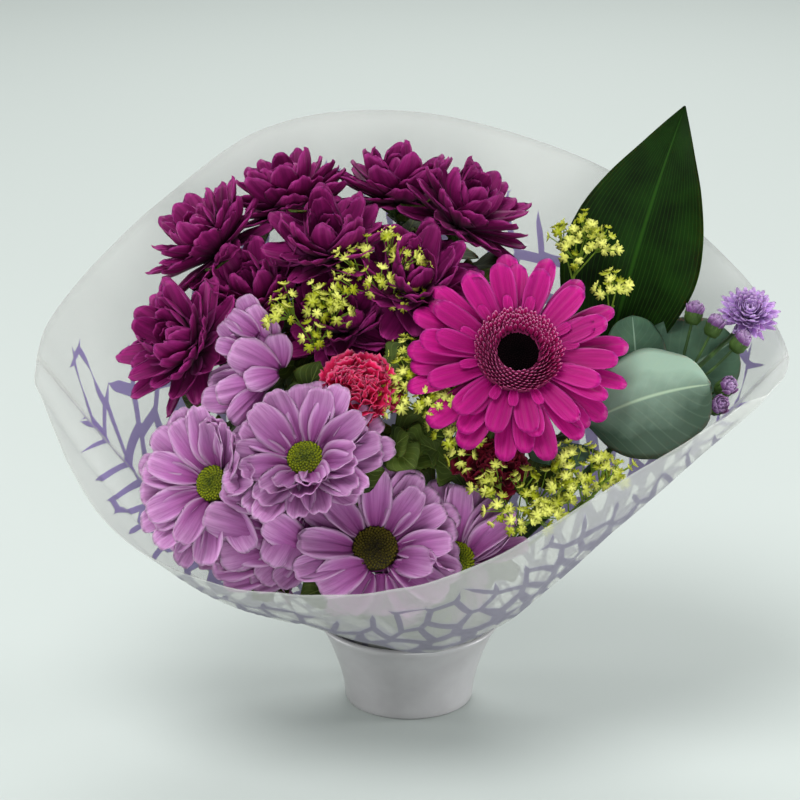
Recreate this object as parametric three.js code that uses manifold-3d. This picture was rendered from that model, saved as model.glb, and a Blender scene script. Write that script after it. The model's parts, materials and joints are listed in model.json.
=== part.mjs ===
// Mixed bouquet in a frosted film sleeve, standing in a short ceramic vase.
// Units are millimetres, +Z is up and the origin is the middle of the vase's foot.
// The viewer stands at -Y: the sleeve is low there and high at the back.

import * as THREE from 'three';
import { mergeVertices } from 'three/addons/utils/BufferGeometryUtils.js';
import Module from 'manifold-3d';

const wasm = await Module();
wasm.setup();

// Clearances
const GAP = 0.3;
const TIDY = 0.02;

// Vase
const VASE_HEIGHT = 42;
const FOOT_RADIUS = 32;
const RIM_RADIUS = 45;
const VASE_WALL = 3.2;
const VASE_FLOOR = 8;
const VASE_FLARE = 1.7;
const VASE_SIDES = 32;

// Film sleeve: a flattened cone whose top edge is a blunt-cornered oval, tilted to the viewer
const FILM = 0.8;
const SLEEVE_LEFT = 180;
const SLEEVE_RIGHT = 184;
const SLEEVE_DEPTH = 112;
const SLEEVE_CORNERS = 1.7;
const SLEEVE_SIDES = 42;
const SLEEVE_ROWS = [0.14, 0.38, 0.68, 1];
const NECK_RADIUS = 38.4;
const NECK_SHIFT = new THREE.Vector2(2.2, 1.6);
const TAIL_RADIUS = 31.5;
const TAIL_HEIGHT = 24;
const SLEEVE_TOP = [
  [0, 180], [14, 211], [34, 245], [61, 266], [95, 277], [128, 270], [152, 236], [165, 210], [178, 184],
  [190, 150], [201, 119], [213, 103], [235, 96], [268, 104], [296, 123], [322, 152], [342, 171],
];

// Stems spread from the vase's neck along curved lines that keep their order, so they never cross
const SPREAD_START = 30;
const SPREAD_WAIST = 18;
const STEM_FOOT = VASE_FLOOR + GAP + 0.05;
const UPRIGHT_STRETCH = 10;
const STEM_LENGTH_BELOW_BLOOM = 24;
const CALYX_TOP = -3.8;
const CALYX_DEPTH = 7;

// Petal outlines: distance along the petal, and half width as a share of the full half width
const BROAD_PETAL = [[0, 0.26], [0.42, 0.92], [0.84, 0.86]];
const NARROW_PETAL = [[0, 0.3], [0.62, 1]];

// Blooms: each ring is a count of petals with their length, width, lift off the bloom's plane and curl
const LILAC = {
  core: 9, eye: 8.5, colour: 0xc79ad0, eyeColour: 0x8f9a1e,
  rings: [
    { count: 9, length: 33, width: 14, lift: 7, curl: -16, base: -2.2, outline: BROAD_PETAL },
    { count: 8, length: 27, width: 13, lift: 28, curl: -12, base: -0.4, outline: BROAD_PETAL },
  ],
};
const PURPLE = {
  core: 5.5, eye: 0, colour: 0x6d1259, eyeColour: 0x6d1259,
  rings: [
    { count: 8, length: 30, width: 11.5, lift: 2, curl: -12, base: -2.2, outline: BROAD_PETAL },
    { count: 7, length: 26, width: 11, lift: 29, curl: -8, base: -0.4, outline: BROAD_PETAL },
    { count: 4, length: 21, width: 10, lift: 60, curl: 10, base: 1.4, outline: NARROW_PETAL },
  ],
};
const GERBERA = {
  core: 12, eye: 10, seat: 3.2, colour: 0xd4209a, eyeColour: 0x1a0a12,
  rings: [
    { count: 17, length: 41, width: 11.5, lift: 2, curl: -14, base: -2.2, outline: BROAD_PETAL },
    { count: 14, length: 35, width: 11, lift: 13, curl: -14, base: -0.4, outline: BROAD_PETAL },
  ],
};
const ASTER = {
  core: 4, eye: 3.4, colour: 0xa67cc0, eyeColour: 0xb8a2c8,
  rings: [
    { count: 11, length: 11, width: 3.6, lift: 6, curl: -10, base: -2.2, outline: NARROW_PETAL },
    { count: 7, length: 9, width: 3.4, lift: 42, curl: -10, base: -0.4, outline: NARROW_PETAL },
  ],
};
const GERBERA_RING_RADIUS = 21;
const PETAL_THICKNESS = 1.3;
const PETAL_JITTER = 0.12;
const TILT_JITTER = 6;
const ROOT_DEPTH = -3.4;
const ROOT_INSET = 0.5;
const HIGHEST_LIFT = 84;
const LOWEST_LIFT = -24;

// Where a petal would touch a neighbour it lifts, droops or shortens by the first of these that clears
const LIFT_STEPS = [0, 8, -8, 16, -16, 26, 36, 48, 60, 72, -26];
const LENGTH_STEPS = [1, 0.85, 0.7, 0.55];

// Place of each bloom's centre and the way that it faces
const BLOOMS = {
  gerbera: { kind: GERBERA, place: [50, -47, 193], facing: [0.1, -0.74, 0.67], turn: 4 },
  lilac_3: { kind: LILAC, place: [-48, -80, 154], facing: [-0.12, -0.7, 0.7], turn: 10 },
  lilac_5: { kind: LILAC, place: [-16, -84, 111], facing: [0.02, -0.8, 0.6], turn: 23, eye: 10.5, core: 11 },
  purple_5: { kind: PURPLE, place: [-38, 11, 227], facing: [-0.1, -0.3, 0.95], turn: 0 },
  purple_7: { kind: PURPLE, place: [1, -3, 213], facing: [0.1, -0.45, 0.88], turn: 15 },
  purple_3: { kind: PURPLE, place: [-5, 57, 243], facing: [0, 0.2, 0.98], turn: 30 },
  purple_2: { kind: PURPLE, place: [-58, 54, 239], facing: [-0.25, 0.25, 0.93], turn: 5 },
  purple_4: { kind: PURPLE, place: [25, 34, 237], facing: [0.4, 0, 0.92], turn: 12 },
  purple_1: { kind: PURPLE, place: [-95, 31, 224], facing: [-0.65, -0.05, 0.76], turn: 20 },
  purple_6: { kind: PURPLE, place: [-104, -20, 189], facing: [-0.7, -0.45, 0.55], turn: 8 },
  lilac_1: { kind: LILAC, place: [-75, -40, 178], facing: [-0.55, -0.3, 0.78], turn: 3 },
  lilac_2: { kind: LILAC, place: [-91, -75, 140], facing: [-0.45, -0.78, 0.44], turn: 17 },
  lilac_4: { kind: LILAC, place: [-63, -74, 111], facing: [-0.5, -0.5, 0.7], turn: 12 },
  lilac_6: { kind: LILAC, place: [22, -78, 104], facing: [0.25, -0.6, 0.75], turn: 6 },
  purple_8: { kind: PURPLE, place: [-31, -4, 195], facing: [0, -0.6, 0.8], turn: 25 },
  purple_9: { kind: PURPLE, place: [-72, 6, 204], facing: [-0.35, -0.3, 0.88], turn: 13 },
};

// Carnations: ruffled petals in three crowded rings
const CARNATIONS = {
  carnation_pink: { place: [-24, -52, 176], facing: [0.05, -0.75, 0.66], size: 19, colour: 0xc81e5a },
  carnation_red: { place: [38, -60, 143], facing: [0.1, -0.7, 0.7], size: 17, colour: 0x8a0f2c },
};
const RUFFLE_RINGS = [
  { count: 6, share: 1, lift: 8, base: -1.6 },
  { count: 4, share: 0.92, lift: 44, base: 0.6 },
  { count: 2, share: 0.8, lift: 74, base: 2.4 },
];

// Stems: the trunk's place at the vase, in shares of the spread, and the blooms that it carries
const STEMS = {
  purple_stems_left: { trunk: [-0.62, 0.08], radius: 2.1, carries: ['purple_1', 'purple_6', 'purple_9'] },
  purple_stems_middle: { trunk: [-0.25, 0.32], radius: 2.1, carries: ['purple_2', 'purple_5', 'purple_8'] },
  purple_stems_right: { trunk: [0.14, 0.42], radius: 2.1, carries: ['purple_3', 'purple_4', 'purple_7'] },
  lilac_stems_left: { trunk: [-0.85, -0.48], radius: 2.1, carries: ['lilac_1', 'lilac_2'] },
  lilac_stems_front: { trunk: [-0.48, -0.9], radius: 2.1, carries: ['lilac_3', 'lilac_4'] },
  lilac_stems_right: { trunk: [0, -1.15], radius: 2.1, carries: ['lilac_5', 'lilac_6'] },
  gerbera_stem: { trunk: [0.3, -0.32], radius: 2.6, carries: ['gerbera'] },
  carnation_stem_pink: { trunk: [-0.2, -0.42], radius: 1.6, carries: ['carnation_pink'] },
  carnation_stem_red: { trunk: [0.36, -0.74], radius: 1.6, carries: ['carnation_red'] },
  aster_stem: { trunk: [1, 0.12], radius: 1.5, carries: ['aster'] },
};
const BRANCH_RADIUS = 1.5;
const FORK_SHARES = [0.5, 0.35, 0.65, 0.25, 0.8];
const STEM_GREEN = 0x4d6a2c;

// Filler sprays of tiny yellow-green flowers: one stem that forks into two heads
const FILLERS = {
  filler_left: { trunk: [-0.3, -0.05], heads: [[-47, -30, 210, 17], [-12, -16, 225, 21]] },
  filler_middle: { trunk: [0.05, -0.12], heads: [[8, -52, 182, 21], [28, -58, 163, 17]] },
  filler_right: { trunk: [0.52, 0.14], heads: [[85, 21, 233, 14], [100, 7, 212, 10]] },
  filler_front: { trunk: [0.72, -0.8], heads: [[86, -76, 143, 18], [52, -84, 133, 21]] },
};
const HUB_DEPTH = 14;
const FLORETS_PER_HEAD = 7;
const FLORET_RADIUS = 4;
const STALK_RADIUS = 0.9;
const FILLER_FACING = new THREE.Vector3(0, -0.55, 0.83);
const FILLER_COLOUR = 0xc8d44a;

// Foliage
const EUCALYPTUS_COLOUR = 0x6f9080;
const EUCALYPTUS_STEM = { trunk: [0.86, -0.34], radius: 1.5, top: [118, -34, 168] };
const EUCALYPTUS_LEAVES = [
  { root: [84, -40, 158], tip: [141, -42, 178], facing: [-0.1, -0.62, 0.78], width: 54, arch: 6 },
  { root: [118, 3, 156], tip: [160, 11, 184], facing: [0.1, -0.93, 0.35], width: 42, arch: 3 },
  { root: [76, -44, 150], tip: [64, -70, 148], facing: [-0.1, -0.4, 0.9], width: 30, arch: 3 },
  { root: [111, -10, 160], tip: [108, 2, 199], facing: [0, -0.85, 0.5], width: 30, arch: 3 },
];
const BROAD_LEAF = {
  trunk: [0.76, 0.5], radius: 1.8, root: [94, 24, 150], tip: [142, 64, 293],
  facing: [-0.28, -0.86, 0.42], width: 74, arch: 10, colour: 0x17361a,
};
const ASTER_BLOOM = {
  kind: ASTER, place: [165, 9, 197], facing: [0.05, -0.6, 0.78], turn: 0, stemEnd: [126, -14, 164],
};
const ASTER_BUDS = [[138, 7, 200], [148, 1, 194], [160, -2, 188], [151, -28, 172], [146, -38, 166]];
const BUD_RADIUS = 4.6;
const LEAF_SPOTS = [
  { stem: 'gerbera_stem', root: 0.5, tip: [4, -42, 146], facing: [0, -0.7, 0.7], width: 24 },
  { stem: 'gerbera_stem', root: 0.66, tip: [-4, -52, 154], facing: [0.1, -0.7, 0.7], width: 22 },
  { stem: 'lilac_stems_left', root: 0.7, tip: [-42, -44, 190], facing: [0, -0.6, 0.8], width: 22 },
  { stem: 'carnation_stem_pink', root: 0.72, tip: [0, -62, 160], facing: [0.1, -0.7, 0.7], width: 20 },
  { stem: 'purple_stems_left', root: 0.66, tip: [-118, 14, 186], facing: [-0.7, 0, 0.7], width: 24 },
  { stem: 'purple_stems_right', root: 0.7, tip: [44, 62, 206], facing: [0.3, 0.5, 0.8], width: 24 },
  { stem: 'purple_stems_middle', root: 0.7, tip: [-40, 78, 206], facing: [-0.2, 0.6, 0.8], width: 24 },
];

// Helpers

function noise(seed, step) {
  const wave = Math.sin(seed * 12.9898 + step * 78.233) * 43758.5453;
  return wave - Math.floor(wave);
}

function radians(degrees) {
  return degrees * Math.PI / 180;
}

function smooth(low, high, value) {
  const share = Math.min(Math.max((value - low) / (high - low), 0), 1);
  return share * share * (3 - 2 * share);
}

function vector(list) {
  return new THREE.Vector3(list[0], list[1], list[2]);
}

function solid(geometry) {
  const bare = geometry.clone();
  bare.deleteAttribute('normal');
  bare.deleteAttribute('uv');
  const merged = mergeVertices(bare, 1e-4);
  const points = new Float32Array(merged.attributes.position.array);
  const faces = new Uint32Array(merged.index.array);
  const body = new wasm.Manifold(new wasm.Mesh({ numProp: 3, vertProperties: points, triVerts: faces }));
  if (body.volume() > 0) return body;
  for (let face = 0; face < faces.length; face += 3) {
    [faces[face + 1], faces[face + 2]] = [faces[face + 2], faces[face + 1]];
  }
  return new wasm.Manifold(new wasm.Mesh({ numProp: 3, vertProperties: points, triVerts: faces }));
}

function closedBody(points, faces) {
  const geometry = new THREE.BufferGeometry();
  const numbers = points.flatMap((point) => [point.x, point.y, point.z]);
  geometry.setAttribute('position', new THREE.Float32BufferAttribute(numbers, 3));
  geometry.setIndex(faces.flat());
  return solid(geometry);
}

function joined(bodies) {
  const whole = wasm.Manifold.union(bodies).simplify(TIDY);
  const pieces = whole.decompose();
  return pieces.reduce((best, piece) => (piece.volume() > best.volume() ? piece : best));
}

function boxesApart(first, second) {
  return [0, 1, 2].some((axis) => first.min[axis] - GAP > second.max[axis]
    || second.min[axis] - GAP > first.max[axis]);
}

function isClear(body, others) {
  const box = body.boundingBox();
  return others.every((other) => boxesApart(box, other.boundingBox())
    || body.minGap(other, GAP) >= GAP * 0.99);
}

function tube(points, radius, sides, steps) {
  const section = new THREE.Shape();
  for (let side = 0; side < sides; side += 1) {
    const angle = 2 * Math.PI * side / sides;
    const move = side ? 'lineTo' : 'moveTo';
    section[move](radius * Math.cos(angle), radius * Math.sin(angle));
  }
  const path = new THREE.CatmullRomCurve3(points);
  return solid(new THREE.ExtrudeGeometry(section, { steps, extrudePath: path, bevelEnabled: false }));
}

// A flower's own frame: two directions in its plane and the way it faces
function frameAt(place, facing) {
  const normal = vector(facing).normalize();
  const across = new THREE.Vector3(-normal.y, normal.x, 0);
  if (across.length() < 0.05) across.set(1, 0, 0);
  across.normalize();
  const upward = new THREE.Vector3().crossVectors(normal, across);
  return { place: vector(place), normal, across, upward };
}

function pointAt(frame, angle, radius, height, aside = 0) {
  const outward = frame.across.clone().multiplyScalar(Math.cos(angle))
    .addScaledVector(frame.upward, Math.sin(angle));
  const sideways = frame.across.clone().multiplyScalar(-Math.sin(angle))
    .addScaledVector(frame.upward, Math.cos(angle));
  return frame.place.clone().addScaledVector(outward, radius)
    .addScaledVector(frame.normal, height).addScaledVector(sideways, aside);
}

// A petal follows an arc that starts at the core's edge, and has a flat top over a keel.
// Its points come in rows of left edge, right edge and keel, and end in the tip.
function petalPoints(frame, shape, outline, lift, length) {
  const start = radians(lift);
  const curl = radians(shape.curl);
  const points = [];
  for (const [along, share] of [...outline, [1, 0]]) {
    const turn = start + curl * along;
    const radius = shape.root + length * (Math.sin(turn) - Math.sin(start)) / curl;
    const height = shape.base - length * (Math.cos(turn) - Math.cos(start)) / curl;
    const half = share * shape.width / 2;
    if (half === 0) {
      points.push(pointAt(frame, shape.angle, radius, height));
    } else {
      points.push(pointAt(frame, shape.angle, radius, height, -half));
      points.push(pointAt(frame, shape.angle, radius, height, half));
      const keel = [radius + PETAL_THICKNESS * Math.sin(turn), height - PETAL_THICKNESS * Math.cos(turn)];
      points.push(pointAt(frame, shape.angle, ...keel));
    }
  }
  return points;
}

function petalFaces(first, count) {
  const faces = [];
  const last = first + count - 1;
  for (let row = first; row < last; row += 3) {
    for (let side = 0; side < 3; side += 1) {
      const next = (side + 1) % 3;
      if (row + 3 === last) {
        faces.push([row + side, last, row + next]);
      } else {
        faces.push([row + side, row + side + 3, row + next]);
        faces.push([row + next, row + side + 3, row + next + 3]);
      }
    }
  }
  return faces;
}

function petal(frame, shape, outline, lift, length) {
  const points = petalPoints(frame, shape, outline, lift, length);
  return closedBody(points, [[0, 1, 2], ...petalFaces(0, points.length)]);
}

// One ring of petals grown out of the rim of a disc; a place whose petal is missing stays blunt
function corolla(frame, base, apex, sections) {
  const points = [pointAt(frame, 0, 0, base), pointAt(frame, 0, 0, apex)];
  const faces = [];
  const roots = sections.map((section) => {
    const root = points.length;
    const kept = section.full ? section.points : section.points.slice(0, 3);
    points.push(...kept);
    if (section.full) faces.push(...petalFaces(root, kept.length));
    else faces.push([root + 1, root, root + 2]);
    return root;
  });
  roots.forEach((here, index) => {
    const next = roots[(index + 1) % roots.length];
    faces.push([0, here, here + 1], [0, here + 1, next], [1, next + 2, here + 2]);
    faces.push([here + 1, here + 2, next], [here + 2, next + 2, next]);
  });
  return closedBody(points, faces);
}

// A short drum that the petals stand out of, with its axis along the flower's normal
function drum(frame, topRadius, bottomRadius, top, bottom, sides) {
  const points = [pointAt(frame, 0, 0, bottom), pointAt(frame, 0, 0, top)];
  const faces = [];
  for (let side = 0; side < sides; side += 1) {
    const angle = 2 * Math.PI * side / sides;
    points.push(pointAt(frame, angle, bottomRadius, bottom), pointAt(frame, angle, topRadius, top));
    const here = 2 + 2 * side;
    const next = 2 + 2 * ((side + 1) % sides);
    faces.push([0, next, here], [1, here + 1, next + 1]);
    faces.push([here, next, here + 1], [next, next + 1, here + 1]);
  }
  return closedBody(points, faces);
}

// Disc of florets: a low dome, or a ring of one, whose face is raised and sunk in turn
function floretDisc(frame, radii, heights, bottom, sides, relief) {
  const points = [];
  const faces = [];
  const rows = radii.length;
  const lowRadii = [radii[0], radii[rows - 1]];
  for (let side = 0; side < sides; side += 1) {
    const angle = 2 * Math.PI * side / sides;
    radii.forEach((radius, row) => {
      const bump = row > 0 && row < rows - 1 ? relief * ((row + side) % 2) : 0;
      points.push(pointAt(frame, angle, radius, heights[row] + bump));
    });
    points.push(pointAt(frame, angle, lowRadii[1], bottom), pointAt(frame, angle, lowRadii[0], bottom));
  }
  const ring = rows + 2;
  for (let side = 0; side < sides; side += 1) {
    const here = side * ring;
    const next = ((side + 1) % sides) * ring;
    for (let row = 0; row < ring; row += 1) {
      const after = (row + 1) % ring;
      faces.push([here + row, here + after, next + row], [next + row, here + after, next + after]);
    }
  }
  return closedBody(points, faces);
}

function floretDome(frame, radius, rise, bottom, sides, relief) {
  const points = [pointAt(frame, 0, 0, bottom), pointAt(frame, 0, 0, bottom + rise)];
  const faces = [];
  const rings = [0.42, 0.8, 1, 1];
  rings.forEach((share, row) => {
    for (let side = 0; side < sides; side += 1) {
      const angle = 2 * Math.PI * (side + 0.5 * (row % 2)) / sides;
      const dome = rise * Math.sqrt(Math.max(1 - 0.8 * share * share, 0));
      const bump = row < rings.length - 2 ? relief * ((row + side) % 2) : 0;
      const height = row === rings.length - 1 ? 0 : dome + bump;
      points.push(pointAt(frame, angle, radius * share, bottom + height));
    }
  });
  for (let row = 0; row < rings.length; row += 1) {
    for (let side = 0; side < sides; side += 1) {
      const here = 2 + row * sides + side;
      const next = 2 + row * sides + (side + 1) % sides;
      if (row === 0) faces.push([1, here, next]);
      if (row === rings.length - 1) {
        faces.push([0, next, here]);
      } else if (row % 2 === 0) {
        faces.push([here, here + sides, next], [next, here + sides, next + sides]);
      } else {
        faces.push([here, here + sides, next + sides], [here, next + sides, next]);
      }
    }
  }
  return closedBody(points, faces);
}

// A thin sheet of even thickness over a grid of points, split into triangles alike on both faces
function sheet(rows, thickness) {
  const columns = rows[0].length;
  const normals = rows.map((line, row) => line.map((point, column) => {
    const along = rows[Math.min(row + 1, rows.length - 1)][column].clone()
      .sub(rows[Math.max(row - 1, 0)][column]);
    const across = line[Math.min(column + 1, columns - 1)].clone().sub(line[Math.max(column - 1, 0)]);
    return along.cross(across).normalize();
  }));
  const points = [];
  for (const side of [0.5, -0.5]) {
    rows.forEach((line, row) => line.forEach((point, column) => {
      points.push(point.clone().addScaledVector(normals[row][column], side * thickness));
    }));
  }
  const under = rows.length * columns;
  const faces = [];
  for (let row = 0; row + 1 < rows.length; row += 1) {
    for (let column = 0; column + 1 < columns; column += 1) {
      const here = row * columns + column;
      const [a, b, c, d] = [here, here + 1, here + columns, here + columns + 1];
      faces.push([a, b, c], [b, d, c], [a + under, c + under, b + under], [b + under, c + under, d + under]);
    }
  }
  const edge = [];
  for (let column = 0; column < columns - 1; column += 1) edge.push(column);
  for (let row = 0; row < rows.length - 1; row += 1) edge.push(row * columns + columns - 1);
  for (let column = columns - 1; column > 0; column -= 1) edge.push((rows.length - 1) * columns + column);
  for (let row = rows.length - 1; row > 0; row -= 1) edge.push(row * columns);
  edge.forEach((point, index) => {
    const next = edge[(index + 1) % edge.length];
    faces.push([point, point + under, next], [next, point + under, next + under]);
  });
  return closedBody(points, faces);
}

// A leaf from root to tip, arched along its length, folded at the midrib and waved at its edge
function leaf(shape, halfWidths, columns, thickness, wave = 0) {
  const root = vector(shape.root);
  const tip = vector(shape.tip);
  const facing = vector(shape.facing).normalize();
  const along = tip.clone().sub(root);
  const side = along.clone().cross(facing).normalize();
  const rise = side.clone().cross(along).normalize();
  const rows = halfWidths.map(([share, half], row) => {
    const centre = root.clone().addScaledVector(along, share)
      .addScaledVector(rise, shape.arch * 4 * share * (1 - share));
    return columns.map((column) => centre.clone()
      .addScaledVector(side, column * half * shape.width / 2)
      .addScaledVector(rise, Math.abs(column) * half * shape.width * 0.1
        + wave * Math.abs(column) * (row % 2 ? 1 : -1)));
  });
  return sheet(rows, thickness);
}

// Stem routes
function spread(height) {
  return Math.hypot(Math.max(height - SPREAD_START, 0), SPREAD_WAIST);
}

function stemPoint(trunk, end, fork, height) {
  const reach = spread(end.z);
  const share = smooth(fork, end.z, height);
  const x = THREE.MathUtils.lerp(trunk[0], end.x / reach, share);
  const y = THREE.MathUtils.lerp(trunk[1], end.y / reach, share);
  return new THREE.Vector3(x * spread(height), y * spread(height), height);
}

// A stem stands upright over its first stretch, so its cut end lies flat on the vase's floor
function stemRoute(trunk, end, fork, low, count) {
  const points = low === STEM_FOOT ? [stemPoint(trunk, end, fork, low)] : [];
  const start = low === STEM_FOOT ? low + UPRIGHT_STRETCH : low;
  for (let step = 0; step <= count; step += 1) {
    points.push(stemPoint(trunk, end, fork, THREE.MathUtils.lerp(start, end.z, step / count)));
  }
  return points;
}

function calyx(frame, radius) {
  return drum(frame, radius, BRANCH_RADIUS, CALYX_TOP, CALYX_TOP - CALYX_DEPTH, 6);
}

function flowerFrames() {
  const frames = {};
  for (const [name, bloom] of Object.entries({ ...BLOOMS, ...CARNATIONS, aster: ASTER_BLOOM })) {
    frames[name] = frameAt(bloom.place, bloom.facing);
  }
  return frames;
}

const frames = flowerFrames();

function stemEnd(name) {
  if (name === 'aster') return vector(ASTER_BLOOM.stemEnd);
  const frame = frames[name];
  return frame.place.clone().addScaledVector(frame.normal, -STEM_LENGTH_BELOW_BLOOM);
}

function coreRadius(bloom) {
  return bloom.core ?? bloom.kind.core;
}

function calyxRadius(name) {
  if (name === 'aster') return 3;
  if (name.startsWith('carnation')) return 6;
  return coreRadius(BLOOMS[name]) * 0.75 + 1.5;
}

// One trunk from the vase's floor, and a branch from its fork to each bloom that it carries
function stemSystem(stem, fork) {
  const bodies = [];
  const ends = stem.carries.map(stemEnd);
  const lowest = Math.min(...ends.map((end) => end.z));
  const forkHeight = THREE.MathUtils.lerp(VASE_HEIGHT, lowest, fork);
  ends.forEach((end, index) => {
    const frame = frames[stem.carries[index]];
    const alone = stem.carries.length === 1;
    const route = stemRoute(stem.trunk, end, forkHeight, alone ? STEM_FOOT : forkHeight - 5, alone ? 6 : 3);
    route.push(frame.place.clone().addScaledVector(frame.normal, CALYX_TOP - 2));
    bodies.push(tube(route, alone ? stem.radius : BRANCH_RADIUS, alone ? 5 : 4, alone ? 9 : 4));
    bodies.push(calyx(frame, calyxRadius(stem.carries[index])));
  });
  if (stem.carries.length > 1) {
    const heights = [STEM_FOOT, STEM_FOOT + UPRIGHT_STRETCH, 0.5 * (STEM_FOOT + forkHeight), forkHeight];
    const trunkRoute = heights.map((height) => stemPoint(stem.trunk, ends[0], forkHeight, height));
    bodies.push(tube(trunkRoute, stem.radius, 5, 4));
  }
  return joined(bodies);
}

// Placing: each piece keeps clear of everything that stands already
const placed = {};

function standing(except = []) {
  return Object.entries(placed).filter(([name]) => !except.includes(name)).map(([, body]) => body);
}

function firstClear(name, options, make) {
  for (const option of options) {
    const body = make(option);
    if (isClear(body, standing())) return body;
  }
  throw new Error(`nothing clear for ${name}`);
}

// The first lift and length at which a petal touches nothing
function settledPetal(frame, shape, ring, tilt, around) {
  for (const share of LENGTH_STEPS) {
    for (const step of LIFT_STEPS) {
      const lift = tilt + step;
      if (lift > HIGHEST_LIFT || lift < LOWEST_LIFT) continue;
      const body = petal(frame, shape, ring.outline, lift, ring.length * share);
      if (isClear(body, around)) return { body, lift, length: ring.length * share };
    }
  }
  return null;
}

// A ring grows as one corolla; a petal that leans across its neighbour is joined on afterwards
function ringPetals(frame, ring, shift, bloom, seed, around) {
  const sections = [];
  const leaning = [];
  for (let index = 0; index < ring.count; index += 1) {
    const jitter = PETAL_JITTER * (noise(seed, index) - 0.5);
    const shape = {
      angle: radians(bloom.turn + shift + 360 * (index + jitter) / ring.count),
      root: coreRadius(bloom),
      base: ring.base,
      width: ring.width,
      curl: ring.curl,
    };
    const tilt = ring.lift + TILT_JITTER * (noise(seed, index + 50) - 0.5);
    const found = settledPetal(frame, shape, ring, tilt, around);
    const { lift, length } = found ?? { lift: tilt, length: ring.length };
    const points = petalPoints(frame, shape, ring.outline, lift, length);
    sections.push({ points, shape, lift, length, body: found?.body, full: found !== null });
  }
  sections.forEach((section, index) => {
    const before = sections[(index + ring.count - 1) % ring.count];
    if (!section.full || !before.full || before.body.minGap(section.body, 1) > 0.1) return;
    section.full = false;
    const inner = { ...section.shape, root: section.shape.root - ROOT_INSET };
    const body = petal(frame, inner, ring.outline, section.lift, section.length);
    if (isClear(body, around)) leaning.push(body);
  });
  return [corolla(frame, ring.base, ROOT_DEPTH, sections), ...leaning];
}

function bloomPetals(name, bloom, seed) {
  const frame = frames[name];
  const around = standing([name]);
  const bodies = bloom.kind.rings.flatMap((ring, index) => (
    ringPetals(frame, ring, index * 180 / ring.count, bloom, seed + index * 7, around)
  ));
  const width = coreRadius(bloom) - 1;
  if (bloom.kind.seat) bodies.push(drum(frame, width, width, bloom.kind.seat, ROOT_DEPTH, 9));
  return joined(bodies);
}

// Carnation petals: short fans whose toothed edge is raised and sunk in turn
function ruffledPetal(frame, angle, lift, size, base) {
  const columns = [-1, -0.34, 0.34, 1];
  const turn = radians(lift);
  const rows = [[3, 0.1], [size, 1]].map(([reach, fan], row) => columns.map((column, index) => {
    const tooth = row && index % 2 ? 2.4 : 0;
    const wave = row ? (index % 2 ? 1 : -1) * 1.5 : 0;
    const along = reach - tooth;
    return pointAt(
      frame,
      angle,
      along * Math.cos(turn) - wave * Math.sin(turn),
      base + along * Math.sin(turn) + wave * Math.cos(turn),
      column * fan * size * 0.42,
    );
  }));
  return sheet(rows, 0.8);
}

function carnation(name, flower) {
  const frame = frames[name];
  const bodies = [drum(frame, 5, 4, 4, CALYX_TOP + GAP, 7)];
  const around = standing([name]);
  RUFFLE_RINGS.forEach((ring, level) => {
    for (let index = 0; index < ring.count; index += 1) {
      const angle = 2 * Math.PI * (index + 0.4 * level) / ring.count;
      for (const lift of [ring.lift, ring.lift + 14, ring.lift + 30]) {
        const body = ruffledPetal(frame, angle, lift, flower.size * ring.share, ring.base);
        if (isClear(body, around)) {
          bodies.push(body);
          break;
        }
      }
    }
  });
  return joined(bodies);
}

// Filler spray: stars of four rays, each with its own stalk that leaves the stem below the head
function starFloret(frame, foot) {
  const points = [pointAt(frame, 0, 0, 0.9), foot];
  const corners = 8;
  for (let corner = 0; corner < corners; corner += 1) {
    const radius = corner % 2 ? FLORET_RADIUS * 0.42 : FLORET_RADIUS;
    points.push(pointAt(frame, 2 * Math.PI * corner / corners, radius, corner % 2 ? 0 : 0.7));
  }
  const stalk = points.length;
  const faces = [];
  for (let side = 0; side < 4; side += 1) {
    points.push(pointAt(frame, 2 * Math.PI * (side + 0.5) / 4, STALK_RADIUS, -0.9));
  }
  for (let corner = 0; corner < corners; corner += 1) {
    const here = 2 + corner;
    const next = 2 + (corner + 1) % corners;
    const half = Math.floor(corner / 2);
    faces.push([0, here, next], [here, stalk + half, next]);
    if (corner % 2) {
      faces.push([next, stalk + half, stalk + (half + 1) % 4]);
      faces.push([stalk + half, 1, stalk + (half + 1) % 4]);
    }
  }
  return closedBody(points, faces);
}

function fillerHead(head, seed, stalkFoot, around) {
  const [x, y, z, radius] = head;
  const frame = frameAt([x, y, z], FILLER_FACING.toArray());
  const bodies = [];
  for (let index = 0; index < FLORETS_PER_HEAD; index += 1) {
    const angle = index * 2.4 + noise(seed, index);
    const reach = radius * Math.sqrt((index + 0.5) / FLORETS_PER_HEAD);
    const height = 5 * (noise(seed, index + 20) - 0.2) + 0.16 * (radius - reach);
    for (const rise of [0, 5, -5, 10, -10, 15]) {
      const place = pointAt(frame, angle, reach, height + rise);
      const tilt = frame.normal.clone().addScaledVector(place.clone().sub(frame.place), 0.03);
      const floret = starFloret(frameAt(place.toArray(), tilt.toArray()), stalkFoot(2 + 1.6 * index));
      if (isClear(floret, around)) {
        bodies.push(floret);
        break;
      }
    }
  }
  return bodies;
}

function fillerStem(filler, fork) {
  const hubs = filler.heads.map((head) => vector(head).addScaledVector(FILLER_FACING, -HUB_DEPTH));
  const lowest = Math.min(...hubs.map((hub) => hub.z));
  const forkHeight = THREE.MathUtils.lerp(VASE_HEIGHT, lowest, fork);
  const bodies = hubs.map((hub, index) => tube(
    stemRoute(filler.trunk, hub, forkHeight, index ? forkHeight - 6 : STEM_FOOT, index ? 4 : 6),
    index ? 0.9 : 1.2,
    4,
    index ? 5 : 8,
  ));
  const feet = hubs.map((hub) => (drop) => stemPoint(filler.trunk, hub, forkHeight, hub.z - drop));
  return { stem: joined(bodies), feet };
}

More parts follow.
